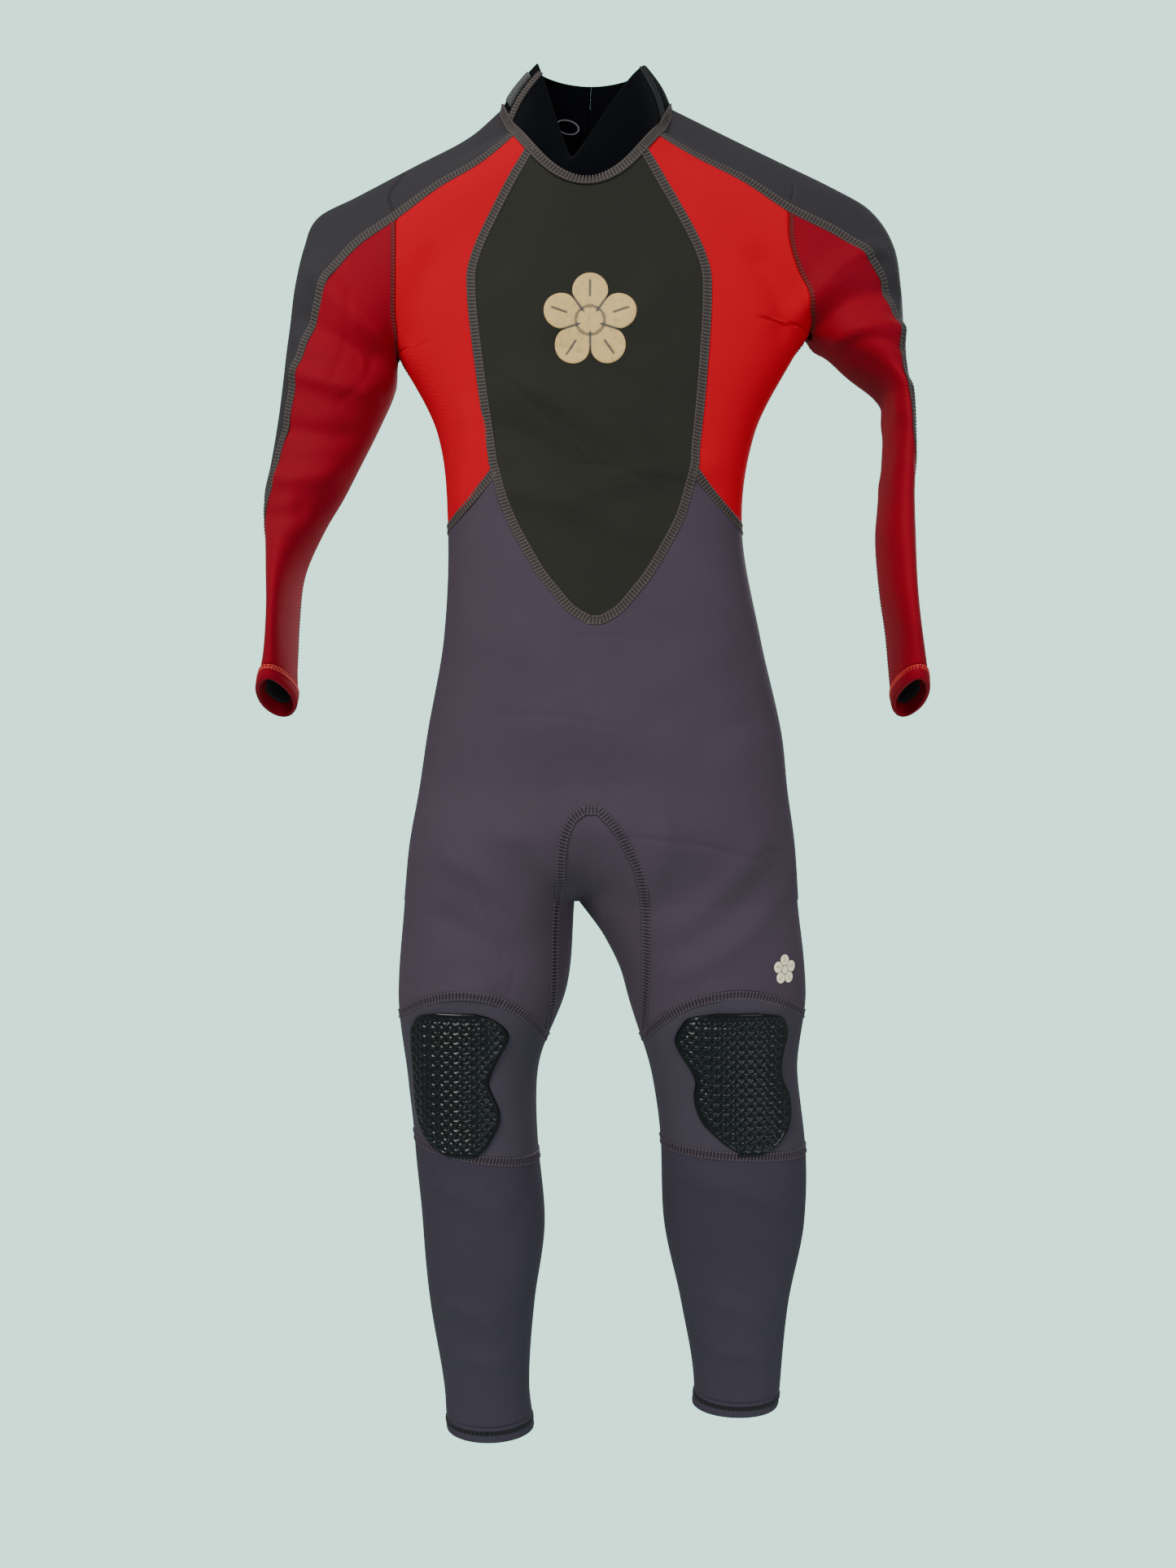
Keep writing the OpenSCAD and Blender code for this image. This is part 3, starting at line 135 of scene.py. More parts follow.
# Torso: level, sway of the centre line, half width, half depth.
TORSO = [
    [NECK_Z, 3, CHEST_W * 0.6, CHEST_D * 0.47],
    [lv(0.68), 3, CHEST_W * 0.592, CHEST_D * 0.5],
    [lv(0.85), 3, CHEST_W * 0.56, CHEST_D * 0.5],
    [lv(1), 3, CHEST_W / 2, CHEST_D / 2],
    [lv(1.45), 3, mix(CHEST_W, WAIST_W, 0.77) / 2, mix(CHEST_D, WAIST_D, 0.5) / 2],
    [lv(2), 2, WAIST_W / 2, WAIST_D / 2],
    [lv(2.42), 8, mix(WAIST_W, HIP_W, 0.3) / 2, mix(WAIST_D, HIP_D, 0.5) / 2],
    [lv(2.78), 10, mix(WAIST_W, HIP_W, 0.8) / 2, HIP_D / 2],
    [lv(3), 9, HIP_W / 2, HIP_D / 2],
    [lv(3.5), 8, mix(HIP_W, SEAT_W, 0.65) / 2, HIP_D / 2],
    [lv(4), 7.5, SEAT_W / 2, HIP_D / 2]]


def body_edge(side, z):
    return track(TORSO, z, 1) + side * track(TORSO, z, 2)


# Sleeves: level, distance out to the outer side, distance out to the inner side, half depth.
LEFT_PIT = al(2) + PIT_LIFT
SLEEVES = {RIGHT: [
    [NECK_Z, NECK_HW - NECK_X, -60, 12],
    [al(0.28), mix(NECK_HW, TIP, 0.22), -40, 18],
    [al(0.56), mix(NECK_HW, TIP, 0.52), -22, 25],
    [al(0.85), mix(NECK_HW, TIP, 0.83), 8, ARM_D * 0.43],
    [al(1), TIP - 1, 35, ARM_D * 0.46],
    [al(1.19), TIP + 9, 70, ARM_D * 0.48],
    [al(1.5), TIP + 17, 122, ARM_D * 0.5],
    [al(1.8), TIP + 21, 153, ARM_D * 0.51],
    [al(2), TIP + 24, -body_edge(RIGHT, al(2)), ARM_D / 2],
    [al(2.25), TIP + 27, 165, ARM_D * 0.48],
    [al(2.55), TIP + 31, 178, ARM_D * 0.45],
    [al(2.9), TIP + 37, 196, ARM_D * 0.43],
    [al(3.08), CUFF_REACH - 6, 209, FOREARM_D * 0.41],
    [al(3.22), CUFF_REACH - 7, 225, FOREARM_D * 0.43],
    [al(3.42), CUFF_REACH - 9, 243, FOREARM_D * 0.47],
    [al(3.62), CUFF_REACH - 10, 249, FOREARM_D / 2],
    [al(3.82), CUFF_REACH - 7, 250, FOREARM_D * 0.47],
    [al(3.96), CUFF_REACH, 249, FOREARM_D * 0.42],
    [al(4) - 20, CUFF_REACH + 3, 251, FOREARM_D * 0.38]],
    LEFT: [
    [NECK_Z, NECK_HW + NECK_X, -60, 12],
    [al(0.28), mix(NECK_HW, TIP, 0.29), -40, 18],
    [al(0.5), mix(NECK_HW, TIP, 0.54), -22, 25],
    [al(0.76), mix(NECK_HW, TIP, 0.84), 8, ARM_D * 0.43],
    [al(0.94), TIP + 2, 40, ARM_D * 0.46],
    [al(1.19), TIP + 20, 85, ARM_D * 0.48],
    [al(1.5), TIP + 26, 138, ARM_D * 0.5],
    [LEFT_PIT, TIP + 28, body_edge(LEFT, LEFT_PIT), ARM_D * 0.51],
    [al(1.97), TIP + 29, 198, ARM_D * 0.51],
    [al(2.1), TIP + 30, 214, ARM_D * 0.5],
    [al(2.24), TIP + 31, 237, ARM_D * 0.49],
    [al(2.36), TIP + 33, 246, ARM_D * 0.48],
    [al(2.8), TIP + 35, 246, FOREARM_D * 0.47],
    [al(3.11), CUFF_REACH - 14, 242, FOREARM_D * 0.49],
    [al(3.26), CUFF_REACH - 13, 240, FOREARM_D / 2],
    [al(3.5), CUFF_REACH - 11, 244, FOREARM_D / 2],
    [al(3.7), CUFF_REACH - 8, 250, FOREARM_D * 0.48],
    [al(3.95), CUFF_REACH, 252, FOREARM_D * 0.42],
    [al(4) - 20, CUFF_REACH + 3, 255, FOREARM_D * 0.38]]}


def sleeve_out(side, z):
    return track(SLEEVES[side], z, 1)


def sleeve_in(side, z):
    return track(SLEEVES[side], z, 2)


def sleeve_mid(side, z):
    return (sleeve_out(side, z) + sleeve_in(side, z)) / 2


def sleeve_half(side, z):
    return (sleeve_out(side, z) - sleeve_in(side, z)) / 2


# Legs: level, distance out to the leg's middle, how far it is spread by the way it hangs.
LEG_MID = {RIGHT: [
    [lv(4), 86, 0.98], [lv(4.45), 91, 0.97], [lv(4.9), 100, 0.96], [lv(5.45), 97, 0.92],
    [lv(6), 91, 0.93], [lv(6.5), 92, 1], [lv(7), 88.5, 0.99], [lv(7) - 40, 85, 1.03]],
    LEFT: [
    [lv(4), 79.5, 1.27], [lv(4.22), 93, 1.12], [lv(4.45), 102, 1.04], [lv(4.9), 109, 1.07],
    [lv(5.45), 117.5, 1.08], [lv(6), 118.5, 1.07], [lv(6.5), 119, 1.03], [lv(7), 121, 1],
    [lv(7) - 30, 117, 1.06]]}
LEG_SIZE = [
    [lv(4), THIGH_W, THIGH_D], [lv(4.5), THIGH_W, THIGH_D * 0.97],
    [lv(4.9), mix(THIGH_W, KNEE_W, 0.85), mix(THIGH_D, KNEE_D, 0.8)],
    [lv(5.15), KNEE_W, KNEE_D], [lv(6), CALF_W, CALF_D],
    [lv(6.5), mix(CALF_W, ANKLE_W, 0.6), mix(CALF_D, ANKLE_D, 0.55)],
    [lv(7), ANKLE_W, ANKLE_D], [lv(7) - 40, ANKLE_W, ANKLE_D]]
LEG_RISE = (CROTCH - HIP) * 1.1


def leg_row(side, z):
    k = track(LEG_MID[side], z, 2)
    return (track(LEG_MID[side], z, 1), k * track(LEG_SIZE, z, 1) / 2,
            track(LEG_SIZE, z, 2) / 2 / np.sqrt(k))


def leg_out(side, z):
    m, h, _ = leg_row(side, z)
    return np.where(z > lv(4), side * body_edge(side, z), m + h)


def leg_in(side, z):
    m, h, _ = leg_row(side, z)
    return np.where(z > lv(4), side * CROTCH_X - 130 * unit((z - lv(4)) / LEG_RISE) ** 1.4, m - h)


def leg_mid(side, z):
    return (leg_out(side, z) + leg_in(side, z)) / 2


def leg_half(side, z):
    return (leg_out(side, z) - leg_in(side, z)) / 2


def round_h(t, b):
    """Half depth of an ellipse at the share t of its half width."""
    return b * np.sqrt(np.maximum(0.0, 1 - t * t))


def torso_h(x, z):
    t = np.abs(x - track(TORSO, z, 1)) / track(TORSO, z, 2)
    top = arc_in((NECK_Z + 8 - 0.52 * np.abs(x - NECK_X) - z) / 55)
    foot = arc_in((z - lv(4)) / (0.75 * (CROTCH - HIP)))
    h = track(TORSO, z, 3) * np.maximum(0, 1 - np.minimum(t, 1) ** 2.3) ** (1 / 2.3)
    return np.where(z <= lv(4), 0, h * top * foot)


def neck_h(x, z):
    return round_h((x - NECK_X) / NECK_HW, NECK_HD) * arc_in((z + 1.7 * NECK_FRONT) / 90)


def sleeve_h(side, x, z):
    h = round_h((side * x - sleeve_mid(side, z)) / sleeve_half(side, z), track(SLEEVES[side], z, 3))
    return np.where((z < al(4) - 40) | (side * x < 0), 0, h)


def leg_h(side, x, z):
    above = mix(leg_row(side, lv(4))[2], HIP_D / 2, unit((z - lv(4)) / LEG_RISE))
    deep = np.where(z > lv(4), above, leg_row(side, z)[2])
    h = round_h((side * x - leg_mid(side, z)) / leg_half(side, z), deep)
    return h * arc_in((lv(4) + LEG_RISE - z) / (0.5 * LEG_RISE))


def depth(x, z):
    """Half depth of the whole body: the sixth root of the sum of the sixth powers of the torso's,
    neck's, sleeves' and legs' own half depths, which rounds each into the next."""
    x, z = np.broadcast_arrays(np.asarray(x, float), np.asarray(z, float))
    total = sum(h ** 6 for h in (
        torso_h(x, z), neck_h(x, z), sleeve_h(LEFT, x, z), sleeve_h(RIGHT, x, z),
        leg_h(LEFT, x, z), leg_h(RIGHT, x, z)))
    return total ** (1 / 6)


def skin(x, z, face):
    x, z, face = np.broadcast_arrays(*(np.asarray(v, float) for v in (x, z, face)))
    return np.stack([x, face * depth(x, z), z], -1)


def outward(p):
    """Unit gradient of y squared less depth squared, which points out of the body."""
    e = 0.6
    x, y, z = p[..., 0], p[..., 1], p[..., 2]
    gx = (depth(x + e, z) ** 2 - depth(x - e, z) ** 2) / (4 * e)
    gz = (depth(x, z + e) ** 2 - depth(x, z - e) ** 2) / (4 * e)
    v = np.stack([-gx, y, -gz], -1)
    n = np.linalg.norm(v, axis=-1, keepdims=True)
    return np.where(n < 1e-3, [0, 0, 1.0], v / np.maximum(n, 1e-3))


# ------------------------------------------------------------------ seams
CHEST_CORNER, STRIP_CORNER, JUNCTION = 39, 54, 6


def neck_seam_z(t):
    c = cosd(t)
    return NECK_Z - (NECK_Z + np.where(c > 0, NECK_FRONT, NECK_BACK)) * np.abs(c) ** 1.6


def neck_seam_at(x):
    return neck_seam_z(asind((x - NECK_X) / NECK_HW))


CHEST = [
    [0, NECK_HW * sind(CHEST_CORNER) / (PANEL_W / 2), neck_seam_z(CHEST_CORNER)],
    [-1, 0.74, lv(0.455)], [-2, 0.96, lv(0.67)], [-3, 1, lv(0.83)], [-4, 0.934, lv(1.27)],
    [-5, 0.87, lv(1.61)], [-6, 0.84, lv(1.735)], [-7, 0.72, lv(2)], [-8, 0.49, lv(2.187)],
    [-9, 0.35, lv(2.27)], [-10, 0.2, lv(2.345)], [-11, 0.05, lv(2.385)]]


def chest_seam(side, step):
    z = track(CHEST, -np.asarray(step, float), 2)
    mid = mix(NECK_X, 2, unit((z + NECK_FRONT) / (NECK_FRONT - WAIST)))
    return mid + side * track(CHEST, -np.asarray(step, float), 1) * PANEL_W / 2, z


_steps = np.linspace(0, 11, 1200)
_levels = track(CHEST, -_steps, 2)


def step_at(z):
    """Step of the chest seam at which it passes the level z."""
    return np.interp(-np.asarray(z, float), -_levels, _steps)


def armpit_z(side):
    return -ARMPIT + (PIT_LIFT if side == LEFT else 0)


def hole_top(side):
    return al(1.05) if side == LEFT else al(1.11)


def armhole_x(side, z):
    a, b = hole_top(side), armpit_z(side)
    k = float(side * body_edge(side, b))
    return track([[a, HOLE_X], [mix(a, b, 0.3), HOLE_X], [mix(a, b, 0.55), mix(HOLE_X, k, 0.35)],
                  [mix(a, b, 0.75), mix(HOLE_X, k, 0.85)], [mix(a, b, 0.9), k - 1], [b, k]], z)


def strip_rows(side):
    z0, x0 = float(neck_seam_z(STRIP_CORNER)), float(side * NECK_X + NECK_HW * sind(STRIP_CORNER))
    if side == LEFT:
        return [[z0, x0], [al(0.6), 85], [al(0.82), 124], [hole_top(LEFT), HOLE_X], [al(1.24), 204],
                [al(1.42), 227], [al(1.54), TIP + 7], [al(1.7), TIP + 12], [al(2.05), TIP + 21],
                [al(2.5), TIP + 28], [al(2.8), TIP + 30]]
    return [[z0, x0], [al(0.67), 92], [al(0.86), 124], [hole_top(RIGHT), HOLE_X], [al(1.28), 190],
            [al(1.48), TIP - 21], [al(1.68), TIP - 11], [al(1.9), TIP], [al(2.15), TIP + 8],
            [al(2.45), TIP + 16], [al(2.83), TIP + 26], [al(3.1), TIP + 33]]


STRIPS = {s: strip_rows(s) for s in (LEFT, RIGHT)}
CUFF_TOP = al(4) + BAND_H


def strip_front(side, z):
    near = asind((track(STRIPS[side], z) - sleeve_mid(side, z)) / sleeve_half(side, z))
    turn = al(2.66) if side == LEFT else al(3.02)
    return mix(near, 102, ease((turn - z) / 70))


def strip_back(side, z):
    z0, h, x0 = neck_seam_z(180 - STRIP_CORNER), hole_top(side), STRIPS[side][0][1]
    x = np.where(z > h, mix(x0, HOLE_X, unit((z0 - z) / (z0 - h))), track(STRIPS[side], z))
    near = 180 - asind((x - sleeve_mid(side, z)) / sleeve_half(side, z))
    return mix(near, 205, ease((al(2.2) - z) / 120))


def sleeve_pt(side, a, z):
    zt = z + cosd(a) * TILT / 2 * unit((al(3.4) - z) / (al(3.4) - CUFF_TOP))
    return skin(side * (sleeve_mid(side, zt) + sleeve_half(side, zt) * sind(a)), zt,
                np.where(cosd(a) >= 0, -1, 1))


def strip_pt(side, u, v):
    """u runs from the front seam, -1, to the back seam, 1; v runs from the neck seam, -1, over
    the armhole, 0, to the cuff, 1. Rows bend in a cosine from the ridge down to both seams."""
    u, v = np.broadcast_arrays(np.asarray(u, float), np.asarray(v, float))
    h, ridge = hole_top(side), al(0.5) if side == LEFT else al(0.57)
    s = np.where(v < 0, 1 + v, v)
    edge0 = neck_seam_z(np.where(u < 0, STRIP_CORNER, 180 - STRIP_CORNER))
    zo = np.where(v < 0, mix(NECK_Z, ridge, s), mix(ridge, CUFF_TOP, np.abs(s) ** 0.9))
    ze = np.where(v < 0, mix(edge0, h, s), mix(h, CUFF_TOP, s))
    z = mix(zo, ze, 1 - cosd(90 * np.abs(u)))
    a = mix(strip_front(side, z), strip_back(side, z), (u + 1) / 2)
    p = sleeve_pt(side, a, z)
    k = unit(-2 * v - 1) ** 2
    zb = mix(NECK_Z, edge0, 1 - cosd(90 * np.abs(u)))
    q = sleeve_pt(side, mix(strip_front(side, zb), strip_back(side, zb), (u + 1) / 2), zb)
    ring = 90 + (90 - STRIP_CORNER) * u
    x0 = NECK_X + side * NECK_HW * sind(ring)
    bent = skin(p[..., 0] + k * (x0 - q[..., 0]), p[..., 2] + k * (neck_seam_z(ring) - q[..., 2]),
                np.where(u < 0, -1, 1))
    return np.where((k > 0)[..., None], bent, p)


def seam_back(side, z):
    return SEAM_BACK * (0.12 + 0.88 * ease((armpit_z(side) - z) / 80))


def waist_seam(side, w):
    """Seam round the waist: x, level and face. w runs from the V's tip, 0, past the junction with
    the hip seam, 0.5, and the silhouette, 0.8, to the side seam, 1."""
    w = np.asarray(w, float)
    xj, zj = (float(v) for v in chest_seam(side, JUNCTION))
    ze = lv(2.01)
    vx, vz = chest_seam(side, mix(11, JUNCTION, unit(w / 0.5)))
    s = unit((w - 0.5) / 0.3)
    z = mix(zj, ze, 1 - (1 - s) ** 2.5)
    c, hw = track(TORSO, z, 1), track(TORSO, z, 2)
    hx = c + side * hw * sind(mix(asind(np.abs(xj - c) / hw), 90, s))
    bx = body_edge(side, ze) - side * seam_back(side, ze) * (1 - cosd(90 * unit((w - 0.8) / 0.2)))
    x = np.where(w <= 0.5, vx, np.where(w <= 0.8, hx, bx))
    return x, np.where(w <= 0.5, vz, np.where(w <= 0.8, z, ze)), np.where(w <= 0.8, -1, 1)


SEAT_TOP, GUSSET_TOP = lv(2.05), lv(3.17)
GUSSET = {RIGHT: [
    [GUSSET_TOP, 6], [GUSSET_TOP - 8, 16], [GUSSET_TOP - 26, 23.5], [GUSSET_TOP - 54, 26.7],
    [lv(4.05), 29.4], [lv(4.5), 32], [lv(4.72), 37]],
    LEFT: [
    [GUSSET_TOP, 4.5], [GUSSET_TOP - 12, 16], [GUSSET_TOP - 31, 27.7], [GUSSET_TOP - 49, 36.8],
    [GUSSET_TOP - 68, 41.5], [lv(4.2), 43.3], [lv(4.7), 42.5]]}


def gusset_x(side, z):
    return np.maximum(track(GUSSET[side], z), np.where(z > lv(4), 0, leg_in(side, z) + 4))


def knee_top(side, t):
    return lv(4.48) - 33 * (t - 0.15) ** 2


def knee_low(side, t):
    return lv(5.46) + (-3 if side == LEFT else 9) * t


def knee_level(side, l, z):
    """Level of the upper knee seam a share l of the way out from the gusset, by repeated trial."""
    for _ in range(5):
        x = mix(gusset_x(side, z), leg_out(side, z), l)
        z = knee_top(side, (x - leg_mid(side, z)) / leg_half(side, z))
    return z


def leg_pt(side, a, z):
    return skin(side * (leg_mid(side, z) + leg_half(side, z) * sind(a)), z,
                np.where(cosd(a) >= 0, -1, 1))


# ------------------------------------------------------------------ folds of the hanging rubber
# Each fold: start x, start z, end x, end z, half width, height, face.
# Folds and creases: x and level of one end, then of the other, half width, height, face.
FOLD_GAIN = np.array([1, 1, 1, 1, 1, 1.9, 1])
FOLDS = np.array([
    [-62, -232, 50, -300, 15, 2.6, -1], [-84, -262, 22, -336, 12, -1.8, -1],
    [-40, -206, 66, -262, 14, -1.6, -1], [-70, -318, 40, -360, 13, 1.6, -1],
    [60, -150, 20, -190, 16, 1.4, -1], [-70, -150, -30, -196, 16, 1.2, -1],
    [-20, -330, 96, -300, 12, 1.5, -1], [-100, -250, -110, -330, 10, 1.5, -1],
    [168, -176, 236, -116, 11, 3.0, -1], [174, -186, 252, -150, 9, -2.4, -1],
    [190, -196, 262, -186, 8, 2.6, -1], [206, -214, 258, -222, 8, -1.2, -1],
    [210, -232, 250, -252, 8, 1.2, -1], [238, -262, 256, -276, 7, -0.6, -1],
    [240, -300, 258, -296, 10, 0.5, -1],
    [-166, -196, -232, -130, 11, 2.6, -1], [-170, -212, -246, -168, 10, -2.0, -1],
    [-176, -236, -252, -214, 9, 2.2, -1], [-190, -270, -258, -262, 9, -1.6, -1],
    [-206, -300, -262, -304, 9, 2.0, -1], [-232, -330, -266, -336, 8, -1.4, -1],
    [130, -128, 160, -190, 12, -1.6, -1], [-130, -128, -158, -200, 12, -1.4, -1],
    [-60, -590, -24, -640, 14, 2.0, -1], [60, -586, 34, -650, 14, 1.8, -1],
    [-120, -610, -44, -668, 13, 1.8, -1], [140, -600, 58, -676, 13, 1.8, -1],
    [-130, -660, -60, -700, 12, -1.4, -1], [150, -650, 60, -712, 12, 1.6, -1],
    [-110, -430, -20, -462, 22, 1.4, -1], [110, -440, 30, -480, 22, 1.3, -1],
    [-60, -505, 70, -530, 20, 1.0, -1], [80, -530, 140, -500, 14, -1.0, -1],
    [-140, -738, -80, -716, 10, 1.3, -1], [160, -736, 90, -722, 10, 1.4, -1],
    [-136, -880, -70, -902, 12, 1.2, -1], [80, -876, 160, -900, 12, 1.3, -1],
    [-124, -980, -76, -1000, 9, 1.4, -1], [96, -976, 146, -998, 9, 1.4, -1],
    [-118, -1024, -70, -1034, 7, 1.1, -1], [98, -1020, 146, -1030, 7, 1.1, -1],
    [-90, -190, 90, -240, 20, 1.8, 1], [100, -250, -80, -320, 18, 1.6, 1],
    [-100, -420, 90, -470, 22, 1.6, 1], [-110, -560, -30, -610, 16, 2.0, 1],
    [110, -560, 40, -610, 16, 2.0, 1], [-140, -660, -60, -690, 13, 1.6, 1],
    [150, -660, 60, -690, 13, 1.6, 1], [-140, -800, -70, -812, 9, -1.6, 1],
    [160, -800, 80, -812, 9, -1.6, 1], [-140, -836, -70, -828, 9, 1.8, 1],
    [160, -836, 80, -828, 9, 1.8, 1], [180, -190, 250, -150, 10, 2.2, 1],
    [-180, -205, -245, -160, 10, 2.2, 1], [210, -236, 254, -250, 9, 1.0, 1],
    [-180, -260, -250, -245, 9, 1.8, 1], [240, -300, 262, -310, 9, 0.5, 1],
    [-225, -310, -256, -300, 9, 0.8, 1]], float)


CREASES = np.array([
    [-84, -222, -6, -300, 2.6, -0.9, -1], [-6, -300, 52, -322, 2.6, -0.7, -1],
    [-40, -252, 24, -330, 2.4, -0.7, -1], [10, -316, 84, -318, 2.4, -0.7, -1],
    [-30, -206, 6, -226, 2.2, -0.5, -1], [20, -598, 128, -616, 2.4, -0.8, -1],
    [128, -616, 158, -612, 2.2, -0.6, -1], [-118, -596, -92, -650, 2.4, -0.7, -1],
    [-92, -650, -70, -700, 2.2, -0.7, -1], [60, -566, 64, -606, 2.2, -0.5, -1],
    [-196, -160, -214, -236, 2.4, -0.9, -1], [-178, -206, -206, -246, 2.4, -0.9, -1],
    [-198, -190, -186, -222, 2.2, 0.7, -1], [196, -150, 240, -128, 2.4, -0.9, -1],
    [206, -196, 262, -206, 2.4, -0.9, -1],
    [-20, -440, 60, -446, 2.6, -0.5, -1], [-90, -500, 30, -514, 2.6, -0.5, -1],
    [64, -690, 56, -740, 2.4, -0.7, -1], [-62, -700, -80, -736, 2.4, -0.7, -1],
    [84, -862, 112, -868, 2.2, -0.6, -1], [-150, -872, -120, -880, 2.2, -0.6, -1],
    [-60, -270, 70, -300, 2.6, -0.7, 1], [-130, -640, -50, -652, 2.6, -0.7, 1],
    [140, -640, 60, -650, 2.6, -0.7, 1]], float)


def fold_height(x, z, face):
    """Height of the folds in millimetres: for each one, its height times a bell across its line
    times a smooth fade past its ends, plus long slow waves in the sheet. Creases are narrow."""
    x, z, face = np.broadcast_arrays(x, z, face)
    total = (0.55 * np.sin(x / 31 + z / 47) * np.sin(z / 39 - x / 83)
             + 0.3 * np.sin(x / 17 - z / 23 + 1.3) * np.sin(z / 61))
    for x0, z0, x1, z1, wide, high, side in np.concatenate([FOLDS * FOLD_GAIN, CREASES]):
        dx, dz = x1 - x0, z1 - z0
        long = math.hypot(dx, dz)
        s = ((x - x0) * dx + (z - z0) * dz) / long
        bow = 5 * np.sin(np.pi * unit(s / long))
        c = ((x - x0) * dz - (z - z0) * dx) / long + bow
        along = ease(s / (0.35 * long) + 0.5) * ease((long - s) / (0.35 * long) + 0.5)
        total = total + high * np.exp(-(c / wide) ** 2) * along * (np.sign(face) == side)
    return total * ease((depth(x, z) - 8) / 20)     # nothing at the silhouette


# ------------------------------------------------------------------ meshes
def new_object(name, verts, faces, mat, smooth=None, attributes=None):
    """A mesh object at the origin from vertices in millimetres and quads, its place in its mesh."""
    mesh = bpy.data.meshes.new(name)
    mesh.from_pydata((np.asarray(verts) * 0.001).tolist(), [], np.asarray(faces).tolist())
    smooth = np.ones(len(mesh.polygons), bool) if smooth is None else smooth
    mesh.polygons.foreach_set("use_smooth", smooth)
    for key, values in (attributes or {}).items():
        mesh.attributes.new(key, "FLOAT", "POINT").data.foreach_set(
            "value", np.asarray(values, np.float32))
    mesh.validate()
    mesh.update()
    obj = bpy.data.objects.new(name, mesh)
    bpy.context.scene.collection.objects.link(obj)
    mesh.materials.append(mat)
    return obj


def shell(name, grid, mat, cells=None, top=0.0, bottom=-SHEET_T, ring=False, dirs=None,
          tuck=0.5, folds=True, extra=None, values=None, flush=()):
    """A closed sheet: the grid's points moved along their outward directions by top, and again by
    bottom, joined by a rim round every edge of the cells that are kept. The outer face rolls down
    by tuck at those edges. Rows run down and columns run to +X on the front."""
    nr, nc = grid.shape[:2]
    last = nc if ring else nc - 1
    keep = np.ones((nr - 1, last), bool) if cells is None else cells[: nr - 1, :last]
    dirs = outward(grid) if dirs is None else dirs
    lift = np.zeros((nr, nc))
    if folds:
        lift += fold_height(grid[..., 0], grid[..., 2], np.sign(grid[..., 1] + 1e-9))
    roll = np.zeros((nr, nc))
    pad = np.zeros((nr + 1, nc + 1), bool)
    pad[1:nr, 1:last + 1] = keep
    if ring:
        pad[1:nr, 0] = keep[:, -1]
    corners = np.stack([pad[:-1, :-1], pad[:-1, 1:], pad[1:, :-1], pad[1:, 1:]])[:, :nr, :nc]
    roll[~corners.all(0)] = tuck
    roll[list(flush), 1:-1] = 0
    out = grid + dirs * (lift + top - roll + (0 if extra is None else extra))[..., None]
    low = grid + dirs * (lift + bottom)[..., None]
    ids = np.arange(nr * nc).reshape(nr, nc)
    i, j = np.nonzero(keep)
    j2 = (j + 1) % nc
    a, b, c, d = ids[i, j], ids[i, j2], ids[i + 1, j2], ids[i + 1, j]
    n = nr * nc
    quads = [np.stack([a, d, c, b], 1), n + np.stack([a, b, c, d], 1)]

    def rim(hit, p, q):
        p, q = p[hit], q[hit]
        quads.append(np.stack([p, q, n + q, n + p], 1))
    grown = np.zeros((nr + 1, last + 2), bool)
    grown[1:nr, 1:-1] = keep
    if ring:
        grown[1:nr, 0], grown[1:nr, -1] = keep[:, -1], keep[:, 0]
    rim(~grown[i, j + 1], a, b)
    rim(~grown[i + 2, j + 1], c, d)
    rim(~grown[i + 1, j + 2], b, c)
    rim(~grown[i + 1, j], d, a)
    faces = np.concatenate(quads)
    smooth = np.arange(len(faces)) < 2 * len(quads[0])      # the rim is flat shaded
    used, faces = np.unique(faces, return_inverse=True)
    faces = faces.reshape(-1, 4)
    verts = np.concatenate([out.reshape(-1, 3), low.reshape(-1, 3)])[used]
    attrs = {}
    for key, v in (values or {}).items():
        attrs[key] = np.concatenate([v.ravel(), v.ravel()])[used]
    return new_object(name, verts, faces, mat, smooth, attrs)


def sized(length):
    return max(3, int(round(length / PITCH)) + 1)


def facing_front(grid, turn):
    """The grid, its columns the other way round if turn is true, so that its faces point out."""
    return grid[:, ::-1] if turn else grid


def all_cells(grid):
    return np.ones((grid.shape[0] - 1, grid.shape[1] - 1), bool)


def cloth_size(grid, cells=None):
    """Longest row, longest column and area of a grid, in metres, as flat=(w, l) and area."""
    across = np.linalg.norm(np.diff(grid, axis=1), axis=2)
    down = np.linalg.norm(np.diff(grid, axis=0), axis=2)
    quad = 0.5 * np.linalg.norm(np.cross(grid[1:, 1:] - grid[:-1, :-1],
                                         grid[1:, :-1] - grid[:-1, 1:]), axis=2)
    if cells is not None:
        k = cells[:quad.shape[0], :quad.shape[1]]
        quad = quad * k
        across[:-1] = across[:-1] * k
        across[-1] = 0
    w, l, area = across.sum(1).max() / 1e3, down.sum(0).max() / 1e3, quad.sum() / 1e6
    if area > w * l:
        l = area / w
    if area < 0.31 * w * l:
        l = area / (0.5 * w)
    return (w, l), area


SIDE = {LEFT: "left", RIGHT: "right"}


def follow_arm(obj, side):
    """Bakes the piece's transform into its mesh; nothing bends it with the sleeve."""
    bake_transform(obj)


def follow_knee(obj, side):
    """Bakes the piece's transform into its mesh; nothing bends it with the lower leg."""
    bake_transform(obj)


def belongs(obj, follow):
    """Gives a piece its body: arm_left, knee_right and the like only have their transform baked,
    and any other name rides on that body.
    """
    joint, _, tag = follow.partition("_")
    if joint in ("arm", "knee"):
        bend = follow_arm if joint == "arm" else follow_knee
        bend(obj, LEFT if tag == "left" else RIGHT)
    else:
        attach(obj, follow)


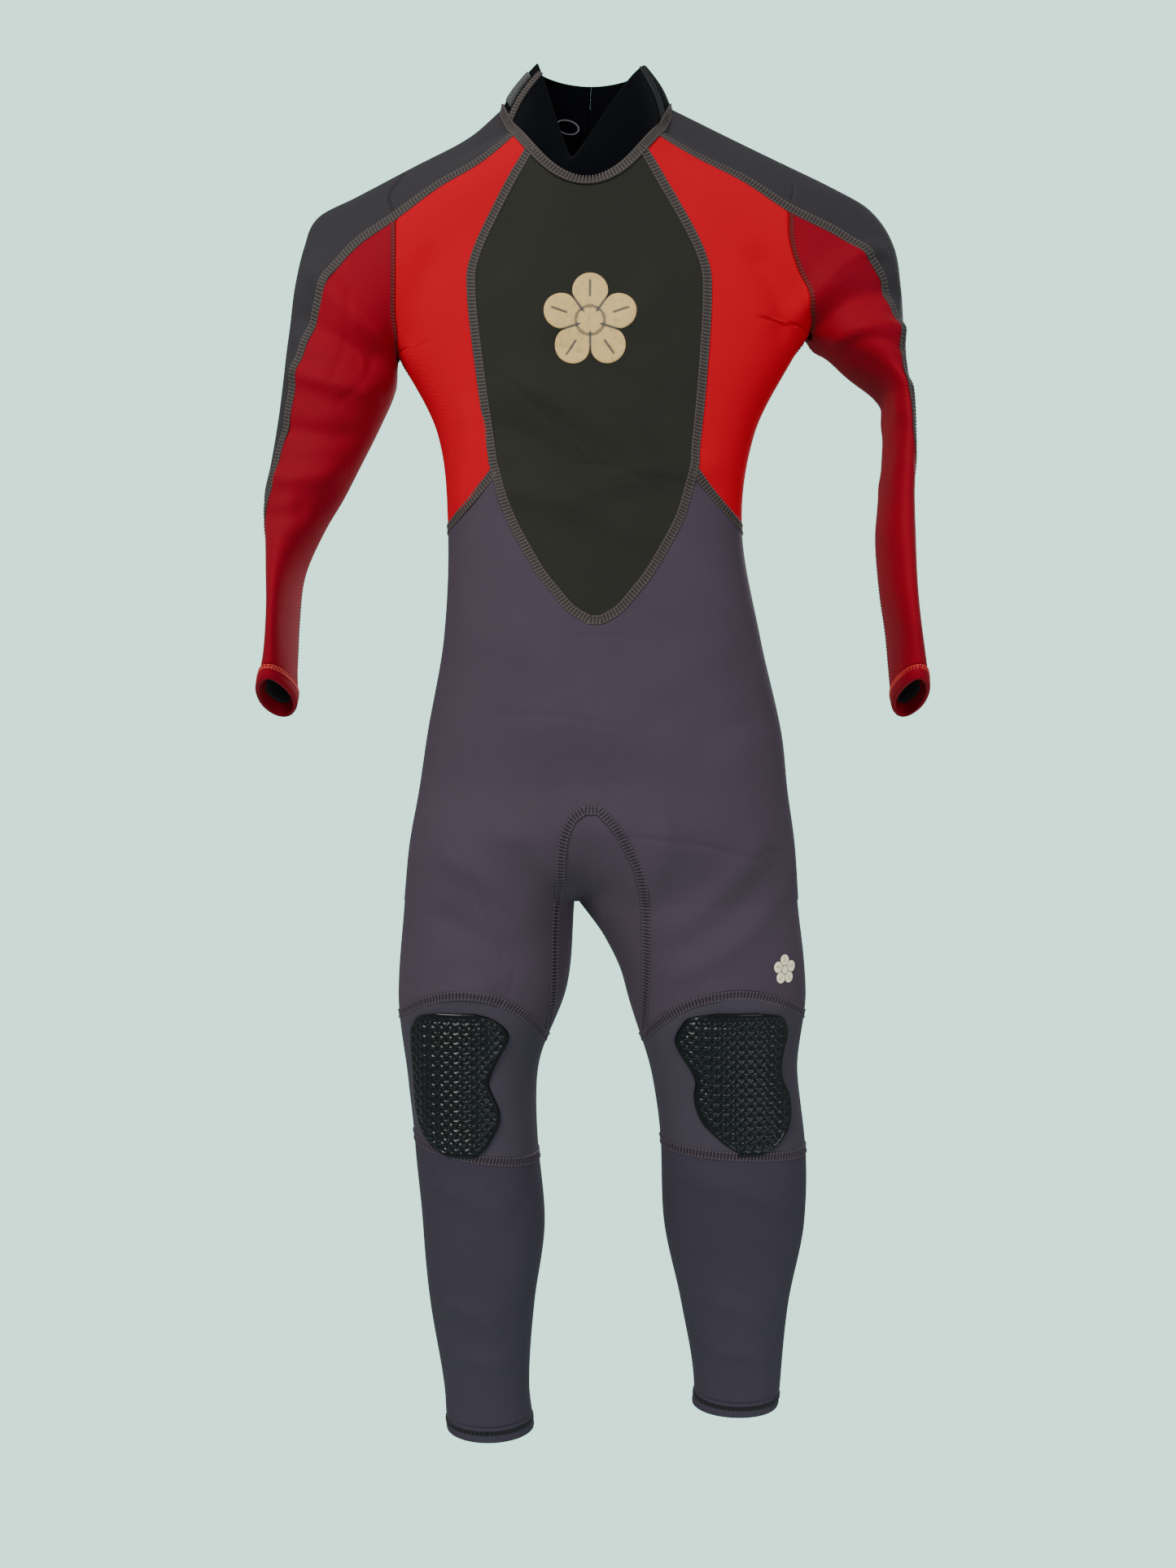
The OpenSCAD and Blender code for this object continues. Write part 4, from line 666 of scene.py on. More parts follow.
def cloth(obj, grid, node, cells=None, follow="suit"):
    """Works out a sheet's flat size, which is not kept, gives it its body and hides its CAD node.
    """
    flat, area = cloth_size(grid, cells)
    belongs(obj, follow)
    if node:
        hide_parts(node)


# ------------------------------------------------------------------ materials
def srgb(r, g, b):
    """Linear colour of an 8-bit sRGB one."""
    c = np.array([r, g, b]) / 255
    return tuple(np.where(c <= 0.04045, c / 12.92, ((c + 0.055) / 1.055) ** 2.4)) + (1,)


class Shader:
    """A material with one Principled shader and short calls for the nodes that feed it."""

    def __init__(self, name, rough=0.6, specular=0.5, sheen=0.0):
        self.mat = bpy.data.materials.new(name)
        self.mat.use_nodes = True
        self.tree = self.mat.node_tree
        self.out = self.tree.nodes["Principled BSDF"]
        self.out.inputs["Roughness"].default_value = rough
        self.out.inputs["Specular IOR Level"].default_value = specular
        if sheen:
            self.out.inputs["Sheen Weight"].default_value = sheen
            self.out.inputs["Sheen Roughness"].default_value = 0.45
        self.coord = self.node("ShaderNodeTexCoord").outputs["Object"]

    def feed(self, socket, value):
        if isinstance(value, bpy.types.NodeSocket):
            self.tree.links.new(value, socket)
        else:
            socket.default_value = value

    def node(self, kind, **inputs):
        made = self.tree.nodes.new(kind)
        for key, value in inputs.items():
            self.feed(made.inputs[key.replace("_", " ")], value)
        return made

    def noise(self, scale, detail):
        return self.node("ShaderNodeTexNoise", Vector=self.coord, Scale=scale,
                         Detail=detail, Roughness=0.6).outputs["Fac"]

    def ramp(self, value, *stops):
        made = self.node("ShaderNodeValToRGB", Fac=value)
        bar = made.color_ramp.elements
        while len(bar) < len(stops):
            bar.new(0.5)
        for e, (pos, colour) in zip(bar, stops):
            e.position, e.color = pos, colour
        return made.outputs["Color"]

    def math(self, op, a, b=0.0):
        made = self.node("ShaderNodeMath")
        made.operation = op
        for socket, value in zip(made.inputs, (a, b)):
            self.feed(socket, value)
        return made.outputs[0]

    def attribute(self, name):
        made = self.node("ShaderNodeAttribute")
        made.attribute_name = name
        return made.outputs["Fac"]

    def colour(self, socket):
        self.tree.links.new(socket, self.out.inputs["Base Color"])

    def rough(self, socket, low, high):
        made = self.node("ShaderNodeMapRange", Value=socket)
        made.inputs["To Min"].default_value, made.inputs["To Max"].default_value = low, high
        self.tree.links.new(made.outputs[0], self.out.inputs["Roughness"])

    def bump(self, height, strength, distance):
        made = self.node("ShaderNodeBump", Height=height, Strength=strength, Distance=distance)
        self.tree.links.new(made.outputs[0], self.out.inputs["Normal"])


def dim(c, k):
    return tuple(min(1, v * k) for v in c[:3]) + (1,)


def neoprene(name, colour, spread=0.14, sheen=0.02, rough=0.74, specular=0.09):
    """Jersey knit on foamed rubber: colour wanders a little over the panel and in fine streaks,
    and the bump is the knit's ribs, half a millimetre apart, over a slower dimpling."""
    s = Shader(name, rough=rough, specular=specular, sheen=sheen)
    slow, fine = s.noise(9, 5), s.noise(900, 2)
    blend = s.math("ADD", s.math("MULTIPLY", slow, 0.6), s.math("MULTIPLY", fine, 0.4))
    s.colour(s.ramp(blend, (0.3, dim(colour, 1 - spread)), (0.52, colour),
                    (0.75, dim(colour, 1 + spread))))
    knit = s.node("ShaderNodeTexWave", Vector=s.coord, Scale=310, Distortion=1.5, Detail=1,
                  Detail_Scale=2.0)
    knit.bands_direction = "DIAGONAL"
    height = s.math("ADD", s.math("MULTIPLY", knit.outputs["Fac"], 0.5), s.noise(420, 3))
    s.rough(slow, rough - 0.06, rough + 0.08)
    s.bump(height, 0.35, 0.0004)
    return s.mat


LOOKS = {
    "chest": neoprene("chest_neoprene", (0.0165, 0.0162, 0.0125, 1)),
    "red": neoprene("red_neoprene", (0.40, 0.0001, 0.009, 1), spread=0.05, sheen=0, rough=0.9,
                    specular=0.05),
    "dark_red": neoprene("dark_red_neoprene", (0.205, 0.0003, 0.0075, 1), spread=0.22, sheen=0.01),
    "strip": neoprene("grey_neoprene", (0.0245, 0.0222, 0.0255, 1)),
    "hip": neoprene("mauve_grey_neoprene", (0.0475, 0.0345, 0.0495, 1)),
    "back": neoprene("back_neoprene", (0.027, 0.024, 0.028, 1)),
    "knee": neoprene("knee_neoprene", (0.041, 0.0345, 0.047, 1)),
    "calf": neoprene("calf_neoprene", (0.033, 0.0275, 0.0405, 1)),
    "collar": neoprene("collar_neoprene", (0.0008, 0.0010, 0.0019, 1), rough=0.8, specular=0.035),
}


def thread(name, colour, deep=0.25):
    """Sewing thread with fine fuzz: a painted highlight on the loops and painted shade, as dark as
    deep sets, in the hollows between them.
    """
    s = Shader(name, specular=0.2, sheen=0.05)
    fuzz = s.math("MULTIPLY", s.noise(700, 2), 0.45)
    # painted light: painted shade in the ribbon's hollows and a painted highlight on its loops,
    # read from the hollows' mask
    s.colour(s.ramp(s.math("ADD", fuzz, s.attribute("hollow_shade")), (0.1, dim(colour, 1.2)),
                    (0.45, dim(colour, 0.8)), (0.95, dim(colour, deep))))
    s.bump(s.noise(2500, 2), 0.5, 0.0002)
    return s.mat


LOOKS.update({
    "taupe": thread("taupe_thread", srgb(68, 60, 57)),
    "mauve": thread("mauve_thread", srgb(64, 53, 64), deep=0.2),
    "red_thread": thread("red_thread", srgb(112, 4, 10), deep=0.35),
    "dark_thread": thread("dark_thread", srgb(22, 22, 25)),
    "coral_thread": thread("coral_thread", srgb(198, 44, 40), deep=0.3)})


def moulded(name, colour, rough, specular=0.5):
    """Moulded rubber, plastic or ink: slow patches of tone and gloss over a fine grain."""
    s = Shader(name, rough=rough, specular=specular)
    s.colour(s.ramp(s.noise(60, 5), (0.3, dim(colour, 0.75)), (0.7, dim(colour, 1.25))))
    s.rough(s.noise(35, 6), rough - 0.07, rough + 0.1)
    s.bump(s.noise(900, 3), 0.25, 0.0002)
    return s.mat


LOOKS["pad"] = moulded("knee_pad_rubber", (0.0012, 0.0022, 0.0028, 1), 0.25, specular=0.24)
LOOKS["plastic"] = moulded("slider_plastic", (0.03, 0.03, 0.034, 1), 0.3)
LOOKS["teeth"] = moulded("zip_teeth_plastic", (0.013, 0.013, 0.015, 1), 0.4)
LOOKS["size_ink"] = moulded("size_print_ink", (0.16, 0.16, 0.18, 1), 0.7, specular=0.1)


def napped(name, colour):
    """Loop or hook cloth: a short dense nap, from two sizes of cell and noise, darker in the cells'
    pits and lighter on their rims, as painted shade and highlight.
    """
    s = Shader(name, rough=0.85, specular=0.2, sheen=0.4)
    cells = s.node("ShaderNodeTexVoronoi", Vector=s.coord, Scale=900).outputs["Distance"]
    # painted shade and highlight: the colour follows the cell height that also drives the bump
    s.colour(s.ramp(cells, (0.1, dim(colour, 0.5)), (0.7, dim(colour, 2.2))))
    s.bump(s.math("ADD", cells, s.noise(1500, 3)), 0.8, 0.0007)
    return s.mat


LOOKS["loop"] = napped("loop_patch_nap", (0.006, 0.006, 0.0065, 1))


def woven(name, colour):
    """Zip tape: a twill of two crossed waves in the tape's own plane, darker where the weave is low
    and lighter where it is high, as painted shade and highlight.
    """
    s = Shader(name, rough=0.7, specular=0.25, sheen=0.15)
    waves = []
    for direction in ("X", "Z"):
        w = s.node("ShaderNodeTexWave", Vector=s.coord, Scale=420, Distortion=0.3)
        w.bands_direction = direction
        waves.append(w.outputs["Fac"])
    h = s.math("MULTIPLY", *waves)
    # painted shade and highlight: the colour follows the same weave height as the bump
    s.colour(s.ramp(h, (0.0, dim(colour, 0.5)), (0.8, dim(colour, 1.6))))
    s.bump(h, 0.6, 0.0004)
    return s.mat


LOOKS["tape"] = woven("zip_tape_weave", (0.010, 0.010, 0.012, 1))


def ink(name, colour, line):
    """Rubber print: the ink is cracked a little, and thin lines part its petals."""
    s = Shader(name, rough=0.5, specular=0.35)
    worn = s.noise(260, 6)
    face = s.ramp(worn, (0.25, dim(colour, 0.72)), (0.5, colour), (0.8, dim(colour, 1.06)))
    cut = s.node("ShaderNodeMix")
    cut.data_type = "RGBA"
    s.tree.links.new(s.attribute("line"), cut.inputs["Factor"])
    s.tree.links.new(face, cut.inputs[6])
    cut.inputs[7].default_value = line
    s.colour(cut.outputs[2])
    s.bump(worn, 0.3, 0.0003)
    return s.mat


LOOKS["chest_ink"] = ink("chest_print_ink", (0.55, 0.37, 0.135, 1), (0.06, 0.05, 0.04, 1))
LOOKS["thigh_ink"] = ink("thigh_print_ink", (0.82, 0.74, 0.50, 1), (0.1, 0.09, 0.1, 1))


# ------------------------------------------------------------------ rubber panels
def chest_panel():
    """Rows run from one side seam to the other; near the neck they bend up or down to its curve."""
    nr, nc = sized(330), sized(190)
    step, q = np.linspace(0, 11, nr)[:, None], np.linspace(0, 1, nc)[None]
    ax, az = chest_seam(RIGHT, step)
    bx, _ = chest_seam(LEFT, step)
    k = unit(1 - step / 2) ** 2
    rim = NECK_X + NECK_HW * sind(CHEST_CORNER) * (2 * q - 1)
    grid = skin(mix(ax, bx, q), az + k * (neck_seam_at(rim) - neck_seam_z(CHEST_CORNER)), -1)
    obj = shell("chest_panel_cloth", grid, LOOKS["chest"])
    cloth(obj, grid, "chest_panel")


def side_panel(side):
    """A tongue above the armpit, a Coons-like patch between the chest seam, the strip's seam and
    the armhole, and a band below it that wraps past the silhouette to the side seam."""
    za = armpit_z(side)
    sa = float(step_at(za))
    nf, nb = sized(62), sized(26)
    nu, nl = sized(170), sized(160)

    def inner_edge(v):
        sx, sz = chest_seam(side, sa * (1 - v / 0.85))
        t = mix(CHEST_CORNER, STRIP_CORNER, unit((v - 0.85) / 0.15))
        return (np.where(v < 0.85, sx, NECK_X + side * NECK_HW * sind(t)),
                np.where(v < 0.85, sz, neck_seam_z(t)))

    def outer_edge(v):
        z = mix(za, hole_top(side), v)
        return side * armhole_x(side, z), z

    v, w = np.linspace(1, 0, nu)[:, None], np.linspace(0, 1, nf)[None]
    tz = mix(neck_seam_z(STRIP_CORNER), hole_top(side), w)
    tx = side * track(STRIPS[side], tz)
    one = np.array(1.0)
    parts = []
    for k, t in ((0, tx), (1, tz)):
        i1, o1 = inner_edge(one)[k], outer_edge(one)[k]
        parts.append(mix(inner_edge(v)[k], outer_edge(v)[k], w) + v * (t - mix(i1, o1, w)))
    upper = skin(parts[0], parts[1], -1)
    upper = np.concatenate([upper, np.repeat(upper[:, -1:], nb - 1, 1)], 1)
    v = np.linspace(0, 1, nl)[:, None]
    w = np.concatenate([np.linspace(0, 0.6, nf), np.linspace(0.6, 1, nb)[1:]])[None]
    _, foot, _ = waist_seam(side, 0.5 + w / 2)
    z = mix(za, foot, v)
    c, hw = track(TORSO, z, 1), track(TORSO, z, 2)
    x0 = chest_seam(side, np.minimum(JUNCTION, step_at(z)))[0]
    a = mix(asind(side * (x0 - c) / hw), 90, unit(w / 0.6))
    bx = body_edge(side, z) - side * seam_back(side, z) * (1 - cosd(90 * unit((w - 0.6) / 0.4)))
    lower = skin(np.where(w <= 0.6, c + side * hw * sind(a), bx), z, np.where(w <= 0.6, -1, 1))
    grid = np.concatenate([upper[:-1], lower])
    cells = all_cells(grid)
    cells[:nu - 1, nf - 1:] = False
    grid, cells = (facing_front(g, side == RIGHT) for g in (grid, cells))
    tag = SIDE[side]
    obj = shell(f"side_panel_{tag}_cloth", grid, LOOKS["red"], cells)
    cloth(obj, grid, f"side_panel_{tag}", cells,
          f"arm_{tag}")


def strips(side):
    """The strip over the shoulder and the one down the sleeve."""
    u = np.linspace(-1, 1, sized(110))[None]
    for name, v in (("shoulder_strip", np.linspace(-1, 0, sized(110))),
                    ("sleeve_strip", np.linspace(0, 1, sized(440)))):
        grid = facing_front(strip_pt(side, u, v[:, None]), side == RIGHT)
        tag = SIDE[side]
        obj = shell(f"{name}_{tag}_cloth", grid, LOOKS["strip"],
                    flush=(-1,) if name == "shoulder_strip" else (0,))
        cloth(obj, grid, f"{name}_{tag}", follow=f"arm_{tag}")


def sleeve_under(side):
    """Two tongues beside the armhole that join under the armpit and run down to the cuff."""
    top, pit = hole_top(side), armpit_z(side)
    za = pit - 2
    n_up, half = sized(104), sized(70)
    z = np.concatenate([np.linspace(top - 3, pit + 1, n_up),
                        np.linspace(za, CUFF_TOP, sized(290))])[:, None]
    hole = asind((armhole_x(side, z) - sleeve_mid(side, z)) / sleeve_half(side, z))
    inner = np.where(z < za + 1, -84.0, hole)
    q = np.linspace(0, 1, half)[None]
    front = sleeve_pt(side, mix(strip_front(side, z), inner, q), z)
    back_in = np.where(z < za + 1, -96.0, -180 - hole)
    back = sleeve_pt(side, mix(back_in, strip_back(side, z) - 360, q), z)
    grid = np.concatenate([front, back], 1)
    cells = all_cells(grid)
    cells[:n_up, half - 1] = False
    grid, cells = (facing_front(g, side == LEFT) for g in (grid, cells))
    tag = SIDE[side]
    obj = shell(f"sleeve_under_{tag}_cloth", grid, LOOKS["dark_red"], cells)
    cloth(obj, grid, f"sleeve_under_{tag}", cells,
          f"arm_{tag}")


RING = np.linspace(0, 360, 150, endpoint=False)[None]
BAND_ROWS = 9


def cuff(side):
    z = np.linspace(CUFF_TOP, al(4), BAND_ROWS)[:, None]
    grid = facing_front(sleeve_pt(side, RING, z), side == RIGHT)
    swell = 0.8 * np.sin(np.pi * np.linspace(0, 1, BAND_ROWS))[:, None] * np.ones_like(RING)
    tag = SIDE[side]
    obj = shell(f"cuff_{tag}_cloth", grid, LOOKS["dark_red"], ring=True, extra=swell)
    cloth(obj, grid, f"cuff_{tag}",
          follow=f"sleeve_{tag}")


def leg_share(side, x, z):
    return (side * x - inner_x(side, z)) / (leg_out(side, z) - inner_x(side, z))


def inner_x(side, z):
    return np.where(z >= GUSSET_TOP, 6.0, gusset_x(side, z))


def hip_panel():
    """Front of the hips and thighs: columns fan from the waist seam out over each thigh and end
    on the knee seams; the two halves join above the gusset."""
    top_rows, low_rows = sized(190), sized(180)
    w = np.concatenate([np.linspace(0, 0.5, sized(110)), np.linspace(0.5, 0.8, sized(76))[1:],
                        np.linspace(0.8, 1, sized(26))[1:]])[None]
    i = np.concatenate([np.linspace(0, 7, top_rows), np.linspace(7, 16, low_rows)[1:]])[:, None]
    halves = []
    for side in (RIGHT, LEFT):
        tx, tz, _ = waist_seam(side, w)
        t = sind(90 * unit(w / 0.8))
        zb = knee_level(side, t, lv(4.6) * np.ones_like(t))
        z = np.where(i <= 7, mix(tz, GUSSET_TOP, i / 7), mix(GUSSET_TOP, zb, unit((i - 7) / 9)))
        l = mix(leg_share(side, tx, tz), t, unit(i / 7))
        fx = side * mix(inner_x(side, z), leg_out(side, z), l)
        bx = side * (leg_out(side, z) - SEAM_BACK * (1 - cosd(90 * unit((w - 0.8) / 0.2))))
        halves.append(skin(np.where(w <= 0.8, fx, bx), z, np.where(w <= 0.8, -1, 1)))
    grid = np.concatenate([halves[0][:, ::-1], halves[1]], 1)
    cells = all_cells(grid)
    cells[top_rows - 1:, w.shape[1] - 1] = False
    obj = shell("hip_panel_cloth", grid, LOOKS["hip"], cells)
    cloth(obj, grid, "hip_panel", cells)


def gusset():
    """One strip from the right knee over the crotch to the left knee; it goes from the front seam
    under the crotch to the back seam in a cosine."""
    v, u = np.linspace(-1, 1, sized(380))[None], np.linspace(-1, 1, sized(70))[:, None]
    f, k = np.abs(v), 1 - cosd(90 * np.abs(u))
    xs, zs = [], []
    for side in (RIGHT, LEFT):
        zk = knee_top(side, -1)
        foot = np.where(u < 0, knee_level(side, 0, np.array(zk)), zk)
        z_edge, z_seam = mix(lv(4) - 1, zk, f), mix(GUSSET_TOP, foot, f)
        x_edge = np.where(f == 0, CROTCH_X, side * leg_in(side, z_edge))
        x_seam = np.where(f == 0, 0, side * gusset_x(side, z_seam))
        xs.append(mix(x_edge, x_seam, k))
        zs.append(mix(z_edge, z_seam, k))
    x, z = np.where(v < 0, xs[0], xs[1]), np.where(v < 0, zs[0], zs[1])
    grid = skin(x, z, np.where(u < 0, -1, 1))
    obj = shell("gusset_cloth", grid, LOOKS["hip"])
    cloth(obj, grid, "gusset")


def back_panel(side):
    """From the zip out to the strip, the armhole and the side seam, down to the seat."""
    h, za, foot = hole_top(side), armpit_z(side), SEAT_TOP
    z0 = float(neck_seam_z(180 - STRIP_CORNER))
    a, b, c = sized(100), sized(104), sized(160)
    zr = np.concatenate([np.linspace(z0, h, a), np.linspace(h, za, b)[1:],
                         np.linspace(za, foot, c)[1:]])[:, None]
    i = np.concatenate([np.linspace(0, 6, a), np.full(b + c - 2, 7.0)])[:, None]
    below = np.where(zr > za, armhole_x(side, zr),
                     side * body_edge(side, zr) - seam_back(side, zr))
    outer = np.where(zr > h, mix(STRIPS[side][0][1], HOLE_X, unit((z0 - zr) / (z0 - h))), below)
    w = np.linspace(0, 1, sized(150))[None]
    x = side * mix(side * ZIP_X + ZIP_GAP, outer, w)
    rim = side * mix(side * ZIP_X + ZIP_GAP, STRIPS[side][0][1], w)
    k = unit(1 - i / 3) ** 2
    grid = skin(x, zr + k * (neck_seam_z(180 - asind((rim - NECK_X) / NECK_HW)) - z0), 1)
    grid, tag = facing_front(grid, side == LEFT), SIDE[side]
    obj = shell(f"back_panel_{tag}_cloth", grid, LOOKS["back"])
    cloth(obj, grid, f"back_panel_{tag}",
          follow=f"arm_{tag}")


def seat_panel():
    """Seat and backs of the legs, in three meshes that meet above the knees; each leg's part is
    handed to its own knee, where nothing bends it."""
    foot_z = -770.0
    half = sized(150)
    w = np.linspace(0, 1, half)[None]
    t = sind(90 * w)
    top, mid = sized(225), sized(190)
    halves, legs = [], []
    for side in (LEFT, RIGHT):
        zk = knee_top(side, -1)
        z = np.concatenate([np.linspace(SEAT_TOP, GUSSET_TOP, top),
                            np.linspace(GUSSET_TOP, zk, mid)[1:], [foot_z]])[:, None]
        z = z * np.ones_like(w)
        inner = np.where(z >= zk - 0.1, inner_x(side, z), leg_in(side, z))
        halves.append(skin(side * mix(inner, leg_out(side, z) - SEAM_BACK, t), z, 1))
        zb = lv(5.46) * np.ones_like(w)
        for _ in range(4):
            x = mix(leg_in(side, zb), leg_out(side, zb) - SEAM_BACK, t)
            zb = knee_low(side, (x - leg_mid(side, zb)) / leg_half(side, zb))
        z = mix(foot_z, zb, np.linspace(0, 1, sized(86))[:, None])
        x = side * mix(leg_in(side, z), leg_out(side, z) - SEAM_BACK, t)
        legs.append((side, skin(x, z, 1)))
    grid = np.concatenate([halves[0][:, ::-1], halves[1]], 1)
    cells = all_cells(grid)
    cells[top - 1:, half - 1] = False
    obj = shell("seat_panel_cloth", grid, LOOKS["hip"], cells, tuck=0)
    cloth(obj, grid, "seat_panel",
          cells)
    for side, grid in legs:
        grid, tag = facing_front(grid, side == LEFT), SIDE[side]
        leg = shell(f"seat_panel_leg_{tag}_cloth", grid, LOOKS["hip"], tuck=0)
        cloth(leg, grid, None, follow=f"knee_{tag}")


def knee_panel(side):
    nc = sized(200)
    w = np.concatenate([np.linspace(0, 0.85, nc), np.linspace(0.85, 1, sized(24))[1:]])[None]
    t = sind(mix(-90, 90, unit(w / 0.85)))
    z = mix(knee_top(side, t), knee_low(side, t), np.linspace(0, 1, sized(110))[:, None])
    fx = side * (leg_mid(side, z) + leg_half(side, z) * t)
    bx = side * (leg_out(side, z) - SEAM_BACK * (1 - cosd(90 * unit((w - 0.85) / 0.15))))
    grid = skin(np.where(w <= 0.85, fx, bx), z, np.where(w <= 0.85, -1, 1))
    grid, tag = facing_front(grid, side == RIGHT), SIDE[side]
    obj = shell(f"knee_panel_{tag}_cloth", grid, LOOKS["knee"])
    cloth(obj, grid, f"knee_panel_{tag}", follow=f"knee_{tag}")


# Knee pads: share of the height going down, reach inward and outward in half widths.
PADS = {RIGHT: [
    [0, 0.27, 0.26], [-0.037, 0.6, 0.72], [-0.12, 0.88, 0.93], [-0.2, 0.923, 0.963],
    [-0.325, 0.744, 0.95], [-0.45, 0.588, 0.93], [-0.51, 0.565, 0.92], [-0.61, 0.677, 0.907],
    [-0.7, 0.756, 0.884], [-0.78, 0.744, 0.828], [-0.86, 0.633, 0.716], [-0.94, 0.5, 0.5],
    [-1, 0.3, 0.2]],
    LEFT: [
    [0, 0.35, 0.25], [-0.037, 0.88, 0.74], [-0.1, 1.06, 0.935], [-0.2, 1.17, 0.97],
    [-0.285, 1.1, 0.902], [-0.41, 0.884, 0.856], [-0.49, 0.795, 0.89], [-0.57, 0.816, 0.99],
    [-0.655, 0.795, 1.05], [-0.78, 0.649, 1.037], [-0.86, 0.435, 0.947], [-0.94, 0.153, 0.744],
    [-1, -0.2, 0.4]]}


def pad_edge(side, s, inner_side):
    return PAD_W / 2 * np.where(inner_side, track(PADS[side], -s, 1), track(PADS[side], -s, 2))


def knee_pad(side):
    """A moulded pad that crowns in its middle, with a flat rim and an embossed weave of short
    curved bars laid like bricks, eight millimetres by four."""
    step = 0.75
    nr, nc = int(PAD_H / step), int(PAD_W / step)
    s = mix(0.004, 0.996, (1 - cosd(180 * np.linspace(0, 1, nr))) / 2)[:, None]
    s = mix(s, np.linspace(0.004, 0.996, nr)[:, None], 0.6)
    q = np.linspace(-1, 1, nc)[None]
    reach = pad_edge(side, s, q < 0)
    mid = leg_mid(side, -KNEE) + (6 if side == LEFT else 7)
    x = side * (mid + q * reach)
    z = -KNEE + 4 + PAD_H / 2 - s * PAD_H
    grid = skin(x, z * np.ones_like(x), -1)
    across, down = q * reach + 200, s * PAD_H + 0.6 * np.cos(2 * np.pi * (q * reach + 200) / 7.6)
    row = np.floor(down / 3.9)
    bx = np.mod(across + 3.8 * np.mod(row, 2), 7.6) / 7.6
    bz = np.mod(down, 3.9) / 3.9
    bar = np.sin(np.pi * unit(bx / 0.84)) ** 0.5 * np.sin(np.pi * unit(bz / 0.72)) ** 0.6
    border = np.minimum((1 - np.abs(q)) * reach, np.minimum(s, 1 - s) * PAD_H)
    inside = ease((border - 3.5) / 2.0)
    crown = 1.1 * ease(border / 14)
    edge = -PAD_T * (1 - np.sqrt(unit(border / 1.8 + 0.12)))
    extra = edge + crown + inside * (1.3 * bar - 0.75)
    grid, extra = (facing_front(g, side == RIGHT) for g in (grid, extra))
    tag = SIDE[side]
    obj = shell(f"knee_pad_{tag}_moulding", grid, LOOKS["pad"], top=PAD_T, bottom=0.1, tuck=0,
                extra=extra)
    belongs(obj, f"knee_{tag}")
    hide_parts(f"knee_pad_{tag}")


def lower_leg(side):
    """The calf's tube and the hem band under it."""
    foot = lv(7) - LEG_END[side] + BAND_H
    calf = mix(knee_low(side, sind(RING)), foot, np.linspace(0, 1, sized(215))[:, None])
    band = np.linspace(foot, foot - BAND_H, BAND_ROWS)[:, None] + 0 * RING
    tag = SIDE[side]
    for name, z, above, follow in (("lower_leg", calf, "knee_panel", "knee"),
                                   ("ankle_hem", band, "lower_leg", "calf")):
        grid = facing_front(leg_pt(side, RING, z), side == RIGHT)
        obj = shell(f"{name}_{tag}_cloth", grid, LOOKS["calf"], ring=True)
        cloth(obj, grid, f"{name}_{tag}",
              follow=f"{follow}_{tag}")


# ------------------------------------------------------------------ collar
def collar_rise(t):
    """Share of the collar's height left at angle t: 0 in the front notch, 1 round the back."""
    x = -1 + TOP_HW * sind(t)
    d = np.hypot(x + 16, 3) - 3
    return np.where(cosd(t) <= 0, 1, unit(d / np.where(x < -16, 27, 58)))


def collar_pt(t, s):
    """Round the neck at angle t, from the seam, s 0, to the top edge, 1, with a slight bulge."""
    c = cosd(t)
    foot = skin(NECK_X + NECK_HW * sind(t), neck_seam_z(t), np.where(c >= 0, -1, 1))
    r = collar_rise(t)
    top = np.stack(np.broadcast_arrays(
        -1 + TOP_HW * sind(t), -c * mix(NECK_HD, 0.77 * NECK_HD, r),
        mix(-NOTCH_DROP, COLLAR_TOP - 5, r) + np.where(c < 0, 5 * sind(90 * -c), 0)), -1)
    s = np.asarray(s, float)[..., None]
    bulge = np.stack(np.broadcast_arrays(sind(t), -c, 0 * c), -1)
    return foot + (top - foot) * s + 3 * sind(180 * s) * bulge


def collar_out(t, s):
    a = np.where(unit(s) > 0.5, s - 0.1, s)
    v = np.cross(collar_pt(t + 2, a) - collar_pt(t - 2, a), collar_pt(t, a + 0.1) - collar_pt(t, a))
    return v / np.linalg.norm(v, axis=-1, keepdims=True)


def collar_piece(name, node, t0, t1, s0, s1, look, top=0.0, bottom=-COLLAR_T, round_end=0,
                 body="suit", wave=0.0):
    """A sheet between two angles and two heights of the collar, its last end round if asked."""
    nc = max(6, int(abs(t1 - t0) * 0.85 / PITCH * 1.2))
    nr = max(5, int((s1 - s0) * 62 / (PITCH * 0.8)))
    t = np.linspace(t0, t1, nc)[None] + np.zeros((nr, 1))
    k = 1.0
    if round_end:
        k = np.sqrt(np.maximum(0.1, 1 - unit((t - t1 + round_end) / round_end) ** 2))
    s = mix((s0 + s1) / 2, np.linspace(s1, s0, nr)[:, None] + 0 * t, k)
    grid, dirs = collar_pt(t, s), collar_out(t, s)
    grid = grid + dirs * (wave * np.sin(t / 9) * np.sin(s * 5))[..., None]
    obj = shell(name, grid, LOOKS[look], top=top, bottom=bottom, dirs=dirs, folds=False, tuck=0.4)
    cloth(obj, grid, node, follow=body)


TAB_LOW, PATCH_T, PATCH_OFF = 0.2, 0.8, 0.5
TAB_HIGH = 0.2 + TAB_H / (COLLAR_TOP + NECK_BACK)
TAB_OFF = PATCH_OFF + 2 * PATCH_T + 0.6


def size_ring():
    """A blank oval line printed inside the collar: a closed tube of low height whose middle line
    is an ellipse in the collar's own angle and height."""
    a, u = np.linspace(0, 360, 120, endpoint=False)[None], np.linspace(-1, 1, 5)[:, None]
    t = 198 + (9.5 + 0.55 * u) * cosd(a)
    h = 0.475 + (0.088 + 0.008 * u) * sind(a)
    obj = shell("size_ring", collar_pt(t, h), LOOKS["size_ink"], top=-COLLAR_T - 0.15,
                bottom=-COLLAR_T - 0.55, ring=True, dirs=collar_out(t, h), folds=False, tuck=0)
    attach(obj, "suit")
    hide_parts("size_print")


